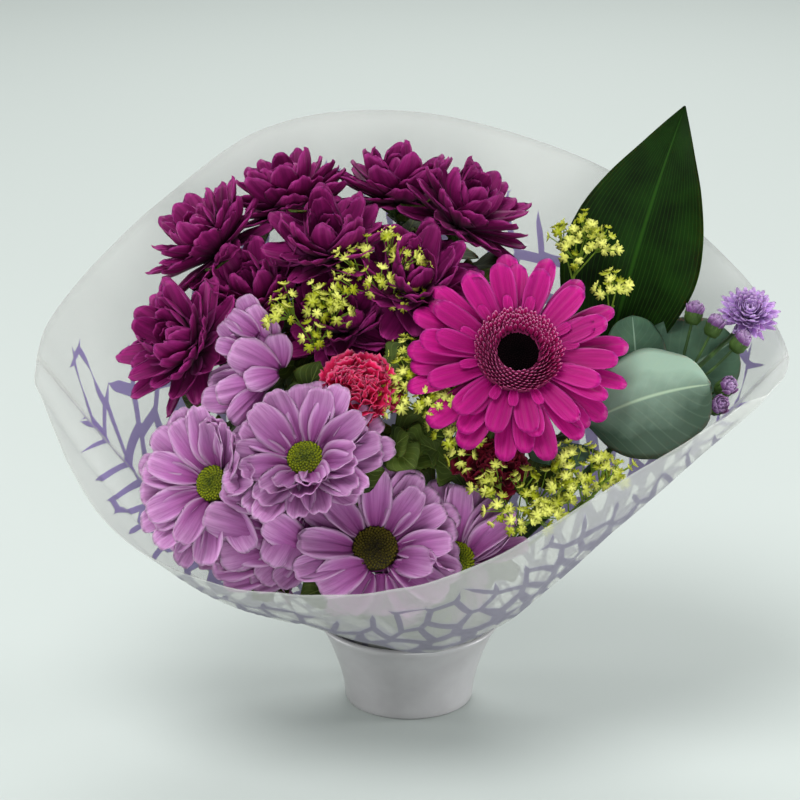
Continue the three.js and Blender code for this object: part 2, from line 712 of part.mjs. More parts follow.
// Vase: a turned cup that flares to its rim
function vase() {
  const outline = [new THREE.Vector2(0, 0), new THREE.Vector2(FOOT_RADIUS - 1.5, 0)];
  const rise = (share) => FOOT_RADIUS + (RIM_RADIUS - FOOT_RADIUS) * share ** VASE_FLARE;
  for (const share of [0.03, 0.25, 0.5, 0.75, 0.97]) {
    outline.push(new THREE.Vector2(rise(share), share * VASE_HEIGHT));
  }
  outline.push(new THREE.Vector2(RIM_RADIUS - VASE_WALL / 2, VASE_HEIGHT));
  for (const share of [0.97, 0.6]) {
    outline.push(new THREE.Vector2(rise(share) - VASE_WALL, share * VASE_HEIGHT));
  }
  outline.push(new THREE.Vector2(rise(0.25) - VASE_WALL, VASE_FLOOR + 3));
  outline.push(new THREE.Vector2(rise(0.2) - VASE_WALL - 3, VASE_FLOOR));
  outline.push(new THREE.Vector2(0, VASE_FLOOR));
  const lathe = new THREE.LatheGeometry(outline, VASE_SIDES);
  lathe.rotateX(Math.PI / 2);
  return solid(lathe);
}

// Sleeve: height of its top edge at an angle round the bouquet, and its wall
function sleeveTop(angle) {
  const knots = SLEEVE_TOP;
  const last = knots.length - 1;
  const at = (index) => {
    const turns = Math.floor(index / knots.length);
    const knot = knots[index - turns * knots.length];
    return [knot[0] + 360 * turns, knot[1]];
  };
  let index = last;
  while (index > 0 && knots[index][0] > angle) index -= 1;
  const [a, b, c, d] = [at(index - 1), at(index), at(index + 1), at(index + 2)];
  const width = c[0] - b[0];
  const share = (angle - b[0]) / width;
  const slopeB = (c[1] - a[1]) / (c[0] - a[0]) * width;
  const slopeC = (d[1] - b[1]) / (d[0] - b[0]) * width;
  const square = share * share;
  const cube = square * share;
  return (2 * cube - 3 * square + 1) * b[1] + (cube - 2 * square + share) * slopeB
    + (3 * square - 2 * cube) * c[1] + (cube - square) * slopeC;
}

function sleeveWall(turn, rowShares) {
  const reach = (value) => Math.sign(value) * Math.abs(value) ** (2 / SLEEVE_CORNERS);
  const side = Math.cos(turn) > 0 ? SLEEVE_RIGHT : SLEEVE_LEFT;
  const rim = new THREE.Vector2(side * reach(Math.cos(turn)), SLEEVE_DEPTH * reach(Math.sin(turn)));
  const polar = Math.atan2(rim.y, rim.x);
  const top = sleeveTop((polar * 180 / Math.PI + 360) % 360);
  const front = Math.max(-Math.sin(polar), 0);
  const slope = 1.3 - 0.2 * Math.cos(polar) + 0.8 * front ** 3;
  const round = new THREE.Vector2(Math.cos(turn), Math.sin(turn));
  const tail = round.clone().multiplyScalar(TAIL_RADIUS);
  const neck = NECK_SHIFT.clone().addScaledVector(round, NECK_RADIUS);
  const points = [vector([tail.x, tail.y, TAIL_HEIGHT]), vector([neck.x, neck.y, VASE_HEIGHT])];
  for (const share of rowShares) {
    const flat = neck.clone().lerp(rim, share);
    points.push(new THREE.Vector3(flat.x, flat.y, VASE_HEIGHT + (top - VASE_HEIGHT) * share ** slope));
  }
  return points;
}

function sleeve(rowShares) {
  const lines = [];
  for (let side = 0; side < SLEEVE_SIDES; side += 1) {
    lines.push(sleeveWall(2 * Math.PI * side / SLEEVE_SIDES, rowShares));
  }
  const rows = lines[0].length;
  const points = [];
  lines.forEach((line, side) => {
    const before = lines[(side + SLEEVE_SIDES - 1) % SLEEVE_SIDES];
    const after = lines[(side + 1) % SLEEVE_SIDES];
    const inner = line.map((point, row) => {
      const along = line[Math.min(row + 1, rows - 1)].clone().sub(line[Math.max(row - 1, 0)]);
      const across = after[row].clone().sub(before[row]);
      const inward = along.cross(across).normalize();
      return point.clone().addScaledVector(inward, FILM);
    });
    points.push(...line, ...inner.reverse());
  });
  const ring = 2 * rows;
  const faces = [];
  for (let side = 0; side < SLEEVE_SIDES; side += 1) {
    const here = side * ring;
    const next = ((side + 1) % SLEEVE_SIDES) * ring;
    for (let row = 0; row < ring; row += 1) {
      const after = (row + 1) % ring;
      faces.push([here + row, next + row, here + after], [next + row, next + after, here + after]);
    }
  }
  return closedBody(points, faces);
}

// Leaf outlines: distance along the leaf, and half width as a share of the full half width
const ROUND_LEAF = [[0, 0.06], [0.12, 0.52], [0.34, 0.94], [0.62, 0.96], [0.86, 0.58], [1, 0.08]];
const POINTED_LEAF = [
  [0, 0.05], [0.12, 0.4], [0.27, 0.8], [0.42, 1], [0.57, 0.93], [0.72, 0.7], [0.86, 0.36], [1, 0.03],
];
const LOBED_LEAF = [
  [0, 0.08], [0.16, 0.6], [0.32, 0.34], [0.5, 1], [0.62, 0.55], [0.8, 0.9], [1, 0.06],
];
const FIVE_COLUMNS = [-1, -0.5, 0, 0.5, 1];
const THREE_COLUMNS = [-1, 0, 1];

function eucalyptus() {
  const top = vector(EUCALYPTUS_STEM.top);
  return firstClear('eucalyptus', FORK_SHARES, (fork) => {
    const forkHeight = THREE.MathUtils.lerp(VASE_HEIGHT, top.z, fork);
    const route = stemRoute(EUCALYPTUS_STEM.trunk, top, forkHeight, STEM_FOOT, 7);
    const bodies = [tube(route, EUCALYPTUS_STEM.radius, 5, 10)];
    EUCALYPTUS_LEAVES.forEach((shape) => {
      const root = vector(shape.root);
      const onStem = stemPoint(EUCALYPTUS_STEM.trunk, top, forkHeight, Math.min(root.z - 12, top.z));
      const inside = root.clone().lerp(vector(shape.tip), 0.12);
      const middle = onStem.clone().lerp(inside, 0.5).add(new THREE.Vector3(0, 0, 1.5));
      bodies.push(tube([onStem, middle, inside], 1, 3, 2), leaf(shape, ROUND_LEAF, FIVE_COLUMNS, 0.9));
    });
    return joined(bodies);
  });
}

function broadLeaf() {
  const root = vector(BROAD_LEAF.root);
  const inside = root.clone().lerp(vector(BROAD_LEAF.tip), 0.1);
  return firstClear('broad leaf', FORK_SHARES, (fork) => {
    const forkHeight = THREE.MathUtils.lerp(VASE_HEIGHT, root.z, fork);
    const route = stemRoute(BROAD_LEAF.trunk, root, forkHeight, STEM_FOOT, 6);
    const bodies = [tube([...route, inside], BROAD_LEAF.radius, 5, 9)];
    bodies.push(leaf(BROAD_LEAF, POINTED_LEAF, FIVE_COLUMNS, 0.9));
    return joined(bodies);
  });
}

// A closed bud: three rings of six corners between a foot and a tip
function budBody(frame) {
  const rings = [[0.55, -0.9], [1, 0], [0.75, 0.8]];
  const points = [pointAt(frame, 0, 0, -1.1 * BUD_RADIUS), pointAt(frame, 0, 0, 1.2 * BUD_RADIUS)];
  const faces = [];
  const sides = 6;
  rings.forEach(([radius, height]) => {
    for (let side = 0; side < sides; side += 1) {
      points.push(pointAt(frame, 2 * Math.PI * side / sides, radius * BUD_RADIUS, height * BUD_RADIUS));
    }
  });
  for (let side = 0; side < sides; side += 1) {
    const next = (side + 1) % sides;
    faces.push([0, 2 + next, 2 + side], [1, 2 + 2 * sides + side, 2 + 2 * sides + next]);
    for (const row of [2, 2 + sides]) {
      faces.push([row + side, row + next, row + sides + side]);
      faces.push([row + next, row + sides + next, row + sides + side]);
    }
  }
  return closedBody(points, faces);
}

function asterBuds(around) {
  const fork = stemEnd('aster');
  return ASTER_BUDS.flatMap((place) => {
    const end = vector(place);
    const away = end.clone().sub(fork).normalize();
    for (const nearer of [0, -4, -8, 4]) {
      const moved = end.clone().add(new THREE.Vector3(0, nearer, 0));
      const bud = frameAt(moved.toArray(), [away.x, away.y - 0.3, away.z + 0.6]);
      const middle = fork.clone().lerp(moved, 0.5).add(new THREE.Vector3(0, -2, -3));
      const bodies = [budBody(bud), tube([fork, middle, moved], 0.8, 3, 3)];
      if (isClear(joined(bodies), around)) return bodies;
    }
    return [];
  });
}

function stemLeaves(name, body, around) {
  const bodies = [body];
  const stem = STEMS[name];
  for (const spot of LEAF_SPOTS.filter((each) => each.stem === name)) {
    const end = stemEnd(stem.carries[0]);
    const height = THREE.MathUtils.lerp(VASE_HEIGHT, end.z, spot.root);
    const forkHeight = stemForks[name];
    const root = stemPoint(stem.trunk, end, forkHeight, height);
    const tip = vector(spot.tip);
    const choices = [[0, 0], [0, -8], [0, -16], [8, 0], [-8, 0], [8, -12], [-8, -12], [0, -26]];
    for (const [aside, lower] of choices) {
      const moved = tip.clone().add(new THREE.Vector3(aside, 0, lower));
      const start = root.clone().lerp(moved, 0.35);
      const shape = { ...spot, root: start.toArray(), tip: moved.toArray(), arch: 3 };
      const blade = leaf(shape, LOBED_LEAF, THREE_COLUMNS, 0.8);
      const stalk = tube([root, root.clone().lerp(start, 0.5), start.clone().lerp(moved, 0.1)], 0.8, 4, 2);
      if (isClear(blade, around) && isClear(stalk, around)) {
        bodies.push(blade, stalk);
        break;
      }
    }
  }
  return bodies.length > 1 ? joined(bodies) : body;
}

// Assembly
const FINISH = {
  ceramic: { color: 0xb4b4b8, roughness: 0.35 },
  film: { color: 0xc9cccb, roughness: 0.5 },
  stem: { color: STEM_GREEN, roughness: 0.7 },
};
const finishes = { vase: FINISH.ceramic, sleeve: FINISH.film };
const stemForks = {};

placed.vase = vase();
placed.sleeve = sleeve(SLEEVE_ROWS);

for (const [name, stem] of Object.entries(STEMS)) {
  placed[name] = firstClear(name, FORK_SHARES, (fork) => {
    const lowest = Math.min(...stem.carries.map((flower) => stemEnd(flower).z));
    stemForks[name] = THREE.MathUtils.lerp(VASE_HEIGHT, lowest, fork);
    return stemSystem(stem, fork);
  });
  finishes[name] = FINISH.stem;
}

const fillerFeet = {};
for (const [name, filler] of Object.entries(FILLERS)) {
  placed[name] = firstClear(name, FORK_SHARES, (fork) => {
    const { stem, feet } = fillerStem(filler, fork);
    fillerFeet[name] = feet;
    return stem;
  });
  finishes[name] = { color: FILLER_COLOUR, roughness: 0.7 };
}

placed.eucalyptus = eucalyptus();
finishes.eucalyptus = { color: EUCALYPTUS_COLOUR, roughness: 0.6 };
placed.broad_leaf = broadLeaf();
finishes.broad_leaf = { color: BROAD_LEAF.colour, roughness: 0.4 };

// Every flower's core and eye stand before the first petal, so no petal takes their place
const flowers = { ...BLOOMS, aster: ASTER_BLOOM };
for (const [name, bloom] of Object.entries(flowers)) {
  const { rings, seat } = bloom.kind;
  const core = coreRadius(bloom);
  const frame = frames[name];
  const top = seat ?? rings[rings.length - 1].base;
  const eyeRadius = bloom.eye ?? bloom.kind.eye;
  placed[name] = drum(frame, core + 0.5, core + 0.5, top, CALYX_TOP + GAP, 12);
  finishes[name] = { color: bloom.kind.colour, roughness: 0.6 };
  if (name === 'gerbera') {
    const radii = [eyeRadius + GAP, 13.5, 17.5, GERBERA_RING_RADIUS];
    placed.gerbera_florets = floretDisc(frame, radii, [4.8, 5.4, 5.8, 4.4], top + GAP, 22, 1.1);
    finishes.gerbera_florets = { color: 0x9a1668, roughness: 0.7 };
  }
  if (eyeRadius > 0) {
    placed[`${name}_eye`] = floretDome(frame, eyeRadius, eyeRadius * 0.4, top + GAP, 10, 0.5);
    finishes[`${name}_eye`] = { color: bloom.kind.eyeColour, roughness: 0.8 };
  }
}
for (const [name, flower] of Object.entries(CARNATIONS)) {
  placed[name] = drum(frames[name], 5.5, 5.5, 4, CALYX_TOP + GAP, 7);
  finishes[name] = { color: flower.colour, roughness: 0.7 };
}

// While the petals are laid, the sleeve stands taller, so that none hangs out over its edge
const finishedSleeve = placed.sleeve;
placed.sleeve = sleeve([...SLEEVE_ROWS, 1.2]);
Object.entries(flowers).forEach(([name, bloom], index) => {
  placed[name] = bloomPetals(name, bloom, index + 1);
});
for (const [name, flower] of Object.entries(CARNATIONS)) {
  placed[name] = carnation(name, flower);
}
placed.sleeve = finishedSleeve;

Object.entries(FILLERS).forEach(([name, filler], index) => {
  const around = standing([name]);
  const bodies = filler.heads.flatMap((head, side) => (
    fillerHead(head, 100 + 2 * index + side, fillerFeet[name][side], around)
  ));
  placed[name] = joined([placed[name], ...bodies]);
});

placed.aster_stem = joined([placed.aster_stem, ...asterBuds(standing(['aster_stem']))]);
for (const name of Object.keys(STEMS)) {
  placed[name] = stemLeaves(name, placed[name], standing([name]));
}

const bouquet = new THREE.Group();
for (const [name, body] of Object.entries(placed)) {
  const data = body.getMesh();
  const geometry = new THREE.BufferGeometry();
  geometry.setAttribute('position', new THREE.BufferAttribute(data.vertProperties, 3));
  geometry.setIndex(new THREE.BufferAttribute(data.triVerts, 1));
  geometry.computeVertexNormals();
  const finish = finishes[name];
  const mesh = new THREE.Mesh(geometry, new THREE.MeshStandardMaterial({ ...finish, metalness: 0 }));
  mesh.name = name;
  bouquet.add(mesh);
}

export default bouquet;
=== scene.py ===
"""Looks of a mixed bouquet in a frosted film sleeve, standing in a short ceramic vase.

Lengths are millimetres, and angles in the tables are degrees. Meshes are written in metres.
"""

import json
import math
import random

import bpy
from mathutils import Matrix, Vector, kdtree, noise
from mathutils.bvhtree import BVHTree

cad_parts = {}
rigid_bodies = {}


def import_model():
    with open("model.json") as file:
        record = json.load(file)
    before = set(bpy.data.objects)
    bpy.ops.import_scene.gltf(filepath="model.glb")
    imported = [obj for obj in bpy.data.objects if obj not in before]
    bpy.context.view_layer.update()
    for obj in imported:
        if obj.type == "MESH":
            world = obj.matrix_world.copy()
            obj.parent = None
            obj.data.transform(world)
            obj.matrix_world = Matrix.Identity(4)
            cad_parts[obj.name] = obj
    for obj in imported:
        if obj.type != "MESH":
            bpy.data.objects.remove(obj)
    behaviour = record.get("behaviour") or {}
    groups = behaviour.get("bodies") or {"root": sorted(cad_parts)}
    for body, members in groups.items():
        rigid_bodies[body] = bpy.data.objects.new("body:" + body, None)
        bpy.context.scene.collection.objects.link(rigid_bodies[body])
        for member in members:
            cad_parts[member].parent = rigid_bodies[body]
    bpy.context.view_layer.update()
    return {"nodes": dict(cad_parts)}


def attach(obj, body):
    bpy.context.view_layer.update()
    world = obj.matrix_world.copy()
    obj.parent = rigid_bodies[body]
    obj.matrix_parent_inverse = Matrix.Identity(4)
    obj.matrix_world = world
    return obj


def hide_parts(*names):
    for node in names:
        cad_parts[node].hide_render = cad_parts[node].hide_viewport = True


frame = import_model()

MM = 0.001
# The turn between two florets of a disc, and the rounded one between spots laid in a spiral, both in radians
GOLDEN_ANGLE = 2.399963
SPIRAL_TURN = 2.4

# Vase
VASE_HEIGHT = 42
FOOT_RADIUS = 32
RIM_RADIUS = 45
VASE_WALL = 3.2
VASE_FLOOR = 8
VASE_FLARE = 1.7

# Film sleeve
FILM = 0.48
SLEEVE_LEFT = 180
SLEEVE_RIGHT = 184
SLEEVE_DEPTH = 112
SLEEVE_CORNERS = 1.7
NECK_RADIUS = 38.4
NECK_SHIFT = (2.2, 1.6)
TAIL_RADIUS = 31.5
TAIL_HEIGHT = 24
SLEEVE_TOP = [
    (0, 180), (14, 211), (34, 245), (61, 266), (95, 277), (128, 270), (152, 236), (165, 210), (178, 184),
    (190, 150), (201, 119), (213, 103), (235, 96), (268, 104), (296, 123), (322, 152), (342, 171),
]

# Where the lower film stands clear of the vase's rim: turn, half width, rise, and share where it is highest
LIFTED = [(227, 27, 18, 0.36), (302, 14, 5, 0.2), (247, 20, 12, 0.15)]

# Creases in the film: turn at the neck and at the top edge, height and width, and the span that they cross
CREASES = [
    {"low": 236, "high": 187, "rise": 3.4, "width": 4.5, "start": 0.5, "end": 1.02},
    {"low": 262, "high": 205, "rise": 1.8, "width": 4, "start": 0.1, "end": 0.8},
    {"low": 300, "high": 338, "rise": 2.4, "width": 5, "start": 0.1, "end": 0.95},
    {"low": 282, "high": 312, "rise": 1.6, "width": 4, "start": 0.05, "end": 0.7},
    {"low": 70, "high": 36, "rise": 2.6, "width": 5, "start": 0.2, "end": 1},
    {"low": 100, "high": 108, "rise": 2.0, "width": 6, "start": 0.1, "end": 0.9},
    {"low": 130, "high": 152, "rise": 2.8, "width": 5, "start": 0.2, "end": 1},
]

# Stems
SPREAD_START = 30
SPREAD_WAIST = 18
STEM_FOOT = 8.35
UPRIGHT_STRETCH = 10
STEM_LENGTH_BELOW_BLOOM = 24
CALYX_TOP = -3.8
CALYX_DEPTH = 7
BRANCH_RADIUS = 1.5
FORK = 0.5
LEAVES_PER_STEM = 7

# Blooms: rings of petals, each with a count, length, width, lift, curl and height of its root
LILAC = {
    "core": 9, "eye": 8.5,
    "rings": [
        {"count": 9, "length": 33, "width": 14, "lift": 7, "curl": -16, "base": -2.2},
        {"count": 8, "length": 27, "width": 13, "lift": 28, "curl": -12, "base": -0.4},
    ],
}
PURPLE = {
    "core": 5.5, "eye": 0,
    "rings": [
        {"count": 8, "length": 30, "width": 11.5, "lift": 2, "curl": -12, "base": -2.2},
        {"count": 7, "length": 26, "width": 11, "lift": 29, "curl": -8, "base": -0.4},
        {"count": 4, "length": 21, "width": 10, "lift": 60, "curl": 10, "base": 1.4},
    ],
}
GERBERA = {
    "core": 12, "eye": 10, "seat": 3.2,
    "rings": [
        {"count": 17, "length": 41, "width": 11.5, "lift": 2, "curl": -14, "base": -2.2},
        {"count": 14, "length": 35, "width": 11, "lift": 13, "curl": -14, "base": -0.4},
    ],
}
ASTER = {
    "core": 4, "eye": 3.4,
    "rings": [
        {"count": 11, "length": 11, "width": 3.6, "lift": 6, "curl": -10, "base": -2.2},
        {"count": 7, "length": 9, "width": 3.4, "lift": 42, "curl": -10, "base": -0.4},
    ],
}
GERBERA_RING_RADIUS = 21
PETAL_JITTER = 0.12
TILT_JITTER = 6
ROOT_INSET = 0.5
LIFT_STEPS = [0, 8, -8, 16, -16, 26, 36, 48, 60, 72, -26]
LENGTH_STEPS = [1, 0.85, 0.7, 0.55]
# The finer petals: how deep they are rooted in the core, the least share of their ring's length and the
# steepest lift; and how far an eye's dome drops towards its edge
ROOT_DEPTH = 1.5
SHORTEST_SHARE = 0.85
STEEPEST = 86
DOME_DROP = 0.8

# Each bloom's kind, centre, the way it faces, and its turn
BLOOMS = {
    "gerbera": (GERBERA, (50, -47, 193), (0.1, -0.74, 0.67), 4),
    "lilac_3": (LILAC, (-48, -80, 154), (-0.12, -0.7, 0.7), 10),
    "lilac_5": (LILAC, (-16, -84, 111), (0.02, -0.8, 0.6), 23),
    "purple_5": (PURPLE, (-38, 11, 227), (-0.1, -0.3, 0.95), 0),
    "purple_7": (PURPLE, (1, -3, 213), (0.1, -0.45, 0.88), 15),
    "purple_3": (PURPLE, (-5, 57, 243), (0, 0.2, 0.98), 30),
    "purple_2": (PURPLE, (-58, 54, 239), (-0.25, 0.25, 0.93), 5),
    "purple_4": (PURPLE, (25, 34, 237), (0.4, 0, 0.92), 12),
    "purple_1": (PURPLE, (-95, 31, 224), (-0.65, -0.05, 0.76), 20),
    "purple_6": (PURPLE, (-104, -20, 189), (-0.7, -0.45, 0.55), 8),
    "lilac_1": (LILAC, (-75, -40, 178), (-0.55, -0.3, 0.78), 3),
    "lilac_2": (LILAC, (-91, -75, 140), (-0.45, -0.78, 0.44), 17),
    "lilac_4": (LILAC, (-63, -74, 111), (-0.5, -0.5, 0.7), 12),
    "lilac_6": (LILAC, (22, -78, 104), (0.25, -0.6, 0.75), 6),
    "purple_8": (PURPLE, (-31, -4, 195), (0, -0.6, 0.8), 25),
    "purple_9": (PURPLE, (-72, 6, 204), (-0.35, -0.3, 0.88), 13),
    "aster": (ASTER, (165, 9, 197), (0.05, -0.6, 0.78), 0),
}
BIG_EYE = {"lilac_5": (11, 10.5)}
# Blooms that close towards the front, and by how much their petals rise there
LEAN = {"lilac_3": 46, "lilac_2": 32, "purple_6": 4}
# Petals that a neighbour's petals lie on are pressed back: between two angles, and by how much
PRESSED = {"lilac_2": (280, 350, 42)}
# A bloom with no room around it closes or folds its petals over: where its own are left out (from which
# angle on, and how far round), and the root, tip, face and width of each folded one
OPEN_SIDE = {"lilac_4": (257, 164), "lilac_1": (0, 360), "lilac_5": (238, 64)}
FOLDED = {
    "lilac_1": [
        ((-61, -50, 187), (-84, -54, 199), (0, 0.95, -0.3), 16),
        ((-60, -46, 187), (-63, -42, 203), (0.2, 0.9, -0.3), 12),
        ((-61, -54, 187), (-77, -62, 185), (0.1, 0.9, -0.5), 11),
        ((-65, -53, 182), (-91, -59, 178), (0, 0.95, -0.2), 13),
        ((-71, -46, 185), (-95, -48, 182), (0, -0.6, 0.8), 11),
        ((-67, -38, 199), (-75, -34, 214), (0, 0.9, -0.4), 10),
        ((-71, -39, 201), (-86, -36, 211), (0, -0.9, 0.4), 10),
        ((-78, -41, 196), (-89, -38, 207), (0, -0.9, 0.4), 9),
        ((-78, -45, 195), (-91, -45, 199), (-0.2, -0.8, 0.6), 8),
        ((-74, -54, 175), (-98, -55, 175), (-0.1, -0.8, 0.5), 13),
        ((-68, -58, 181), (-84, -66, 167), (0.2, 0.9, 0.2), 11),
        ((-72, -34, 205), (-79, -30, 218), (0, -0.9, 0.4), 10),
        ((-63, -42, 192), (-81, -37, 204), (0, -0.9, 0.4), 14),
        ((-63, -44, 188), (-87, -41, 198), (0, -0.9, 0.4), 14),
        ((-64, -48, 182), (-95, -50, 179), (0, -0.9, 0.4), 13),
        ((-66, -38, 193), (-69, -35, 208), (0.1, -0.9, 0.4), 13),
    ],
    "lilac_4": [
        ((-69, -75, 110), (-98, -83, 117), (-0.3, -0.9, 0.3), 15),
        ((-61, -82, 130), (-86, -90, 143), (-0.2, -0.8, 0.55), 13),
        ((-66, -78, 103), (-93, -80, 101), (0.1, -0.8, 0.6), 15),
        ((-61, -78, 97), (-88, -80, 94), (0.1, -0.7, 0.7), 13),
        ((-63, -81, 111), (-89, -86, 108), (0.2, 0.95, -0.3), 16),
        ((-62, -83, 117), (-96, -90, 131), (0.2, 0.9, -0.45), 16),
        ((-54, -76, 108), (-70, -88, 97), (0.1, -0.9, 0.4), 14),
        ((-48, -78, 103), (-62, -89, 96), (0, -0.8, 0.6), 12),
        ((-48, -77, 123), (-58, -91, 103), (0.3, 0.9, 0.2), 14),
        ((-51, -80, 126), (-66, -93, 106), (0.3, 0.9, 0.2), 14),
        ((-47, -84, 112), (-68, -93, 130), (0.3, 0.85, -0.4), 14),
        ((-60, -80, 106), (-84, -84, 114), (0, -0.9, 0.4), 15),
        ((-60, -78, 122), (-82, -84, 134), (0.1, -0.8, 0.55), 14),
        ((-56, -80, 118), (-76, -88, 122), (0.1, -0.9, 0.4), 15),
        ((-52, -76, 100), (-74, -84, 93), (0.1, -0.8, 0.6), 13),
    ],
    "lilac_5": [
        ((-20, -92, 106), (-43, -98, 98), (0, -0.75, 0.66), 17),
        ((-18, -92, 103), (-32, -93, 83), (0, -0.95, 0.3), 16),
        ((-13, -92, 102), (-13, -92, 79), (0, -1, 0.1), 16),
        ((-9, -92, 103), (6, -93, 82), (0, -0.95, 0.3), 16),
        ((-8, -91, 106), (18, -98, 94), (0, -0.75, 0.66), 15),
        ((-15, -90, 100), (-23, -90, 80), (0, -1, 0.2), 15),
    ],
}
# Petals of a family stand prouder than their solids, all round or on the side away from the front
RAISE = {"gerbera": 7}
FAR_RISE = {"purple": 30, "lilac": 8}
NEAR_SIDE = Vector((0, -0.95, 0.31))
ASTER_FORK = (126, -14, 164)

CARNATIONS = {
    "carnation_pink": {"place": (-24, -52, 176), "facing": (0.05, -0.75, 0.66), "size": 19},
    "carnation_red": {"place": (38, -60, 143), "facing": (0.1, -0.7, 0.7), "size": 17},
}

# Each stem's place round the axis as shares of the spread, its radius, and the blooms that it carries
STEMS = {
    "purple_stems_left": ((-0.62, 0.08), 2.1, ["purple_1", "purple_6", "purple_9"]),
    "purple_stems_middle": ((-0.25, 0.32), 2.1, ["purple_2", "purple_5", "purple_8"]),
    "purple_stems_right": ((0.14, 0.42), 2.1, ["purple_3", "purple_4", "purple_7"]),
    "lilac_stems_left": ((-0.85, -0.48), 2.1, ["lilac_1", "lilac_2"]),
    "lilac_stems_front": ((-0.48, -0.9), 2.1, ["lilac_3", "lilac_4"]),
    "lilac_stems_right": ((0, -1.15), 2.1, ["lilac_5", "lilac_6"]),
    "gerbera_stem": ((0.3, -0.32), 2.6, ["gerbera"]),
    "carnation_stem_pink": ((-0.2, -0.42), 1.6, ["carnation_pink"]),
    "carnation_stem_red": ((0.36, -0.74), 1.6, ["carnation_red"]),
    "aster_stem": ((1, 0.12), 1.5, ["aster"]),
}

# Each spray's place round the axis, and the centre and radius of its heads
FILLERS = {
    "filler_left": ((-0.3, -0.05), [(-47, -30, 210, 17), (-12, -16, 225, 21)]),
    "filler_middle": ((0.05, -0.12), [(8, -52, 182, 21), (28, -58, 163, 17)]),
    "filler_right": ((0.52, 0.14), [(85, 21, 233, 14), (100, 7, 212, 10)]),
    "filler_front": ((0.72, -0.8), [(86, -76, 143, 18), (52, -84, 133, 21)]),
}
HUB_DEPTH = 14
FLORETS_PER_HEAD = 7
FLORETS_PER_CLUSTER = 8
# Clusters that each head of a spray has beyond those of its solid; below 0 it has fewer
EXTRA_CLUSTERS = {
    "filler_left": (3, 3), "filler_middle": (6, 6), "filler_right": (0, -5), "filler_front": (5, 5),
}
# Clusters of a spray's last head that reach out over the blooms
SPRAY_TIPS = {"filler_left": [(-31, -14, 231), (-23, -10, 236), (-8, -4, 240), (0, -12, 236), (6, -8, 227),
                              (2, -12, 218), (-5, -18, 215)]}
FILLER_FACING = Vector((0, -0.55, 0.83))

EUCALYPTUS_STEM = ((0.86, -0.34), 1.5, (118, -34, 168))
EUCALYPTUS_LEAVES = [
    {"root": (84, -40, 158), "tip": (142, -42, 178), "facing": (-0.1, -0.62, 0.78), "width": 60, "arch": 6},
    {"root": (106, 2, 154), "tip": (160, 11, 184), "facing": (0.1, -0.93, 0.35), "width": 50, "arch": 3},
    {"root": (76, -44, 150), "tip": (64, -70, 148), "facing": (-0.1, -0.4, 0.9), "width": 30, "arch": 3},
    {"root": (111, -10, 160), "tip": (108, 2, 199), "facing": (0, -0.85, 0.5), "width": 30, "arch": 3},
]
BROAD_LEAF = {
    "trunk": (0.76, 0.5), "radius": 1.8, "root": (94, 24, 150), "tip": (137, 64, 289),
    "facing": (-0.28, -0.86, 0.42), "width": 70, "arch": 10,
}
ASTER_BUDS = [(138, 3, 200), (148, 1, 194), (160, -6, 188), (151, -28, 172), (146, -38, 166)]
BUD_RADIUS = 5.6
BUD_PETALS = 34
BUD_BRACTS = 12
LEAF_SPOTS = [
    {"stem": stem, "root": root, "tip": tip, "facing": facing, "width": width}
    for stem, root, tip, facing, width in (
        ("gerbera_stem", 0.5, (-4, -42, 134), (0, -0.7, 0.7), 24),
        ("gerbera_stem", 0.66, (-4, -52, 154), (0.1, -0.7, 0.7), 22),
        ("lilac_stems_left", 0.7, (-42, -44, 190), (0, -0.6, 0.8), 22),
        ("carnation_stem_pink", 0.72, (0, -62, 160), (0.1, -0.7, 0.7), 20),
        ("purple_stems_left", 0.66, (-118, 14, 186), (-0.7, 0, 0.7), 24),
        ("purple_stems_right", 0.7, (44, 62, 206), (0.3, 0.5, 0.8), 24),
        ("purple_stems_middle", 0.7, (-40, 78, 206), (-0.2, 0.6, 0.8), 24),
    )
]


# Kinds and settings of nodes that are used often
MATH = "ShaderNodeMath"
MIX = "ShaderNodeMix"
NOISE = "ShaderNodeTexNoise"
RANGE = "ShaderNodeMapRange"
RAMP = "ShaderNodeValToRGB"
BUMP = "ShaderNodeBump"
ATTRIBUTE = "ShaderNodeAttribute"
NAMED = "GeometryNodeInputNamedAttribute"
PLUS = {"operation": "ADD"}
TIMES = {"operation": "MULTIPLY"}
TIMES_PLUS = {"operation": "MULTIPLY_ADD"}
EASED = {"interpolation_type": "SMOOTHSTEP"}
COLOURS = {"data_type": "RGBA"}


# Small helpers

def colour(hex_code, alpha=1.0):
    """The linear colour of an sRGB hex value."""
    parts = [int(hex_code[i:i + 2], 16) / 255 for i in (1, 3, 5)]
    linear = [p / 12.92 if p <= 0.04045 else ((p + 0.055) / 1.055) ** 2.4 for p in parts]
    return (*linear, alpha)


def set_inputs(made, inputs):
    """Gives a node's inputs a value or a link; a node stands for its first output."""
    for key, value in inputs.items():
        if isinstance(value, bpy.types.Node):
            value = value.outputs[0]
        if isinstance(value, bpy.types.NodeSocket):
            made.id_data.links.new(value, made.inputs[key])
        else:
            made.inputs[key].default_value = value


def node(tree, kind, settings=(), inputs=()):
    """Adds a node with its settings and its inputs."""
    made = tree.nodes.new(kind)
    for name, value in dict(settings).items():
        if name == "stops":
            first, last = made.color_ramp.elements
            first.position, first.color = value[0]
            last.position, last.color = value[-1]
            for position, tint in value[1:-1]:
                made.color_ramp.elements.new(position).color = tint
        else:
            setattr(made, name, value)
    set_inputs(made, dict(inputs))
    return made


def frac_noise(seed, step):
    """A repeatable number from 0 to 1, the same as in the solids."""
    wave = math.sin(seed * 12.9898 + step * 78.233) * 43758.5453
    return wave - math.floor(wave)


def smooth(low, high, value):
    share = min(max((value - low) / (high - low), 0), 1)
    return share * share * (3 - 2 * share)


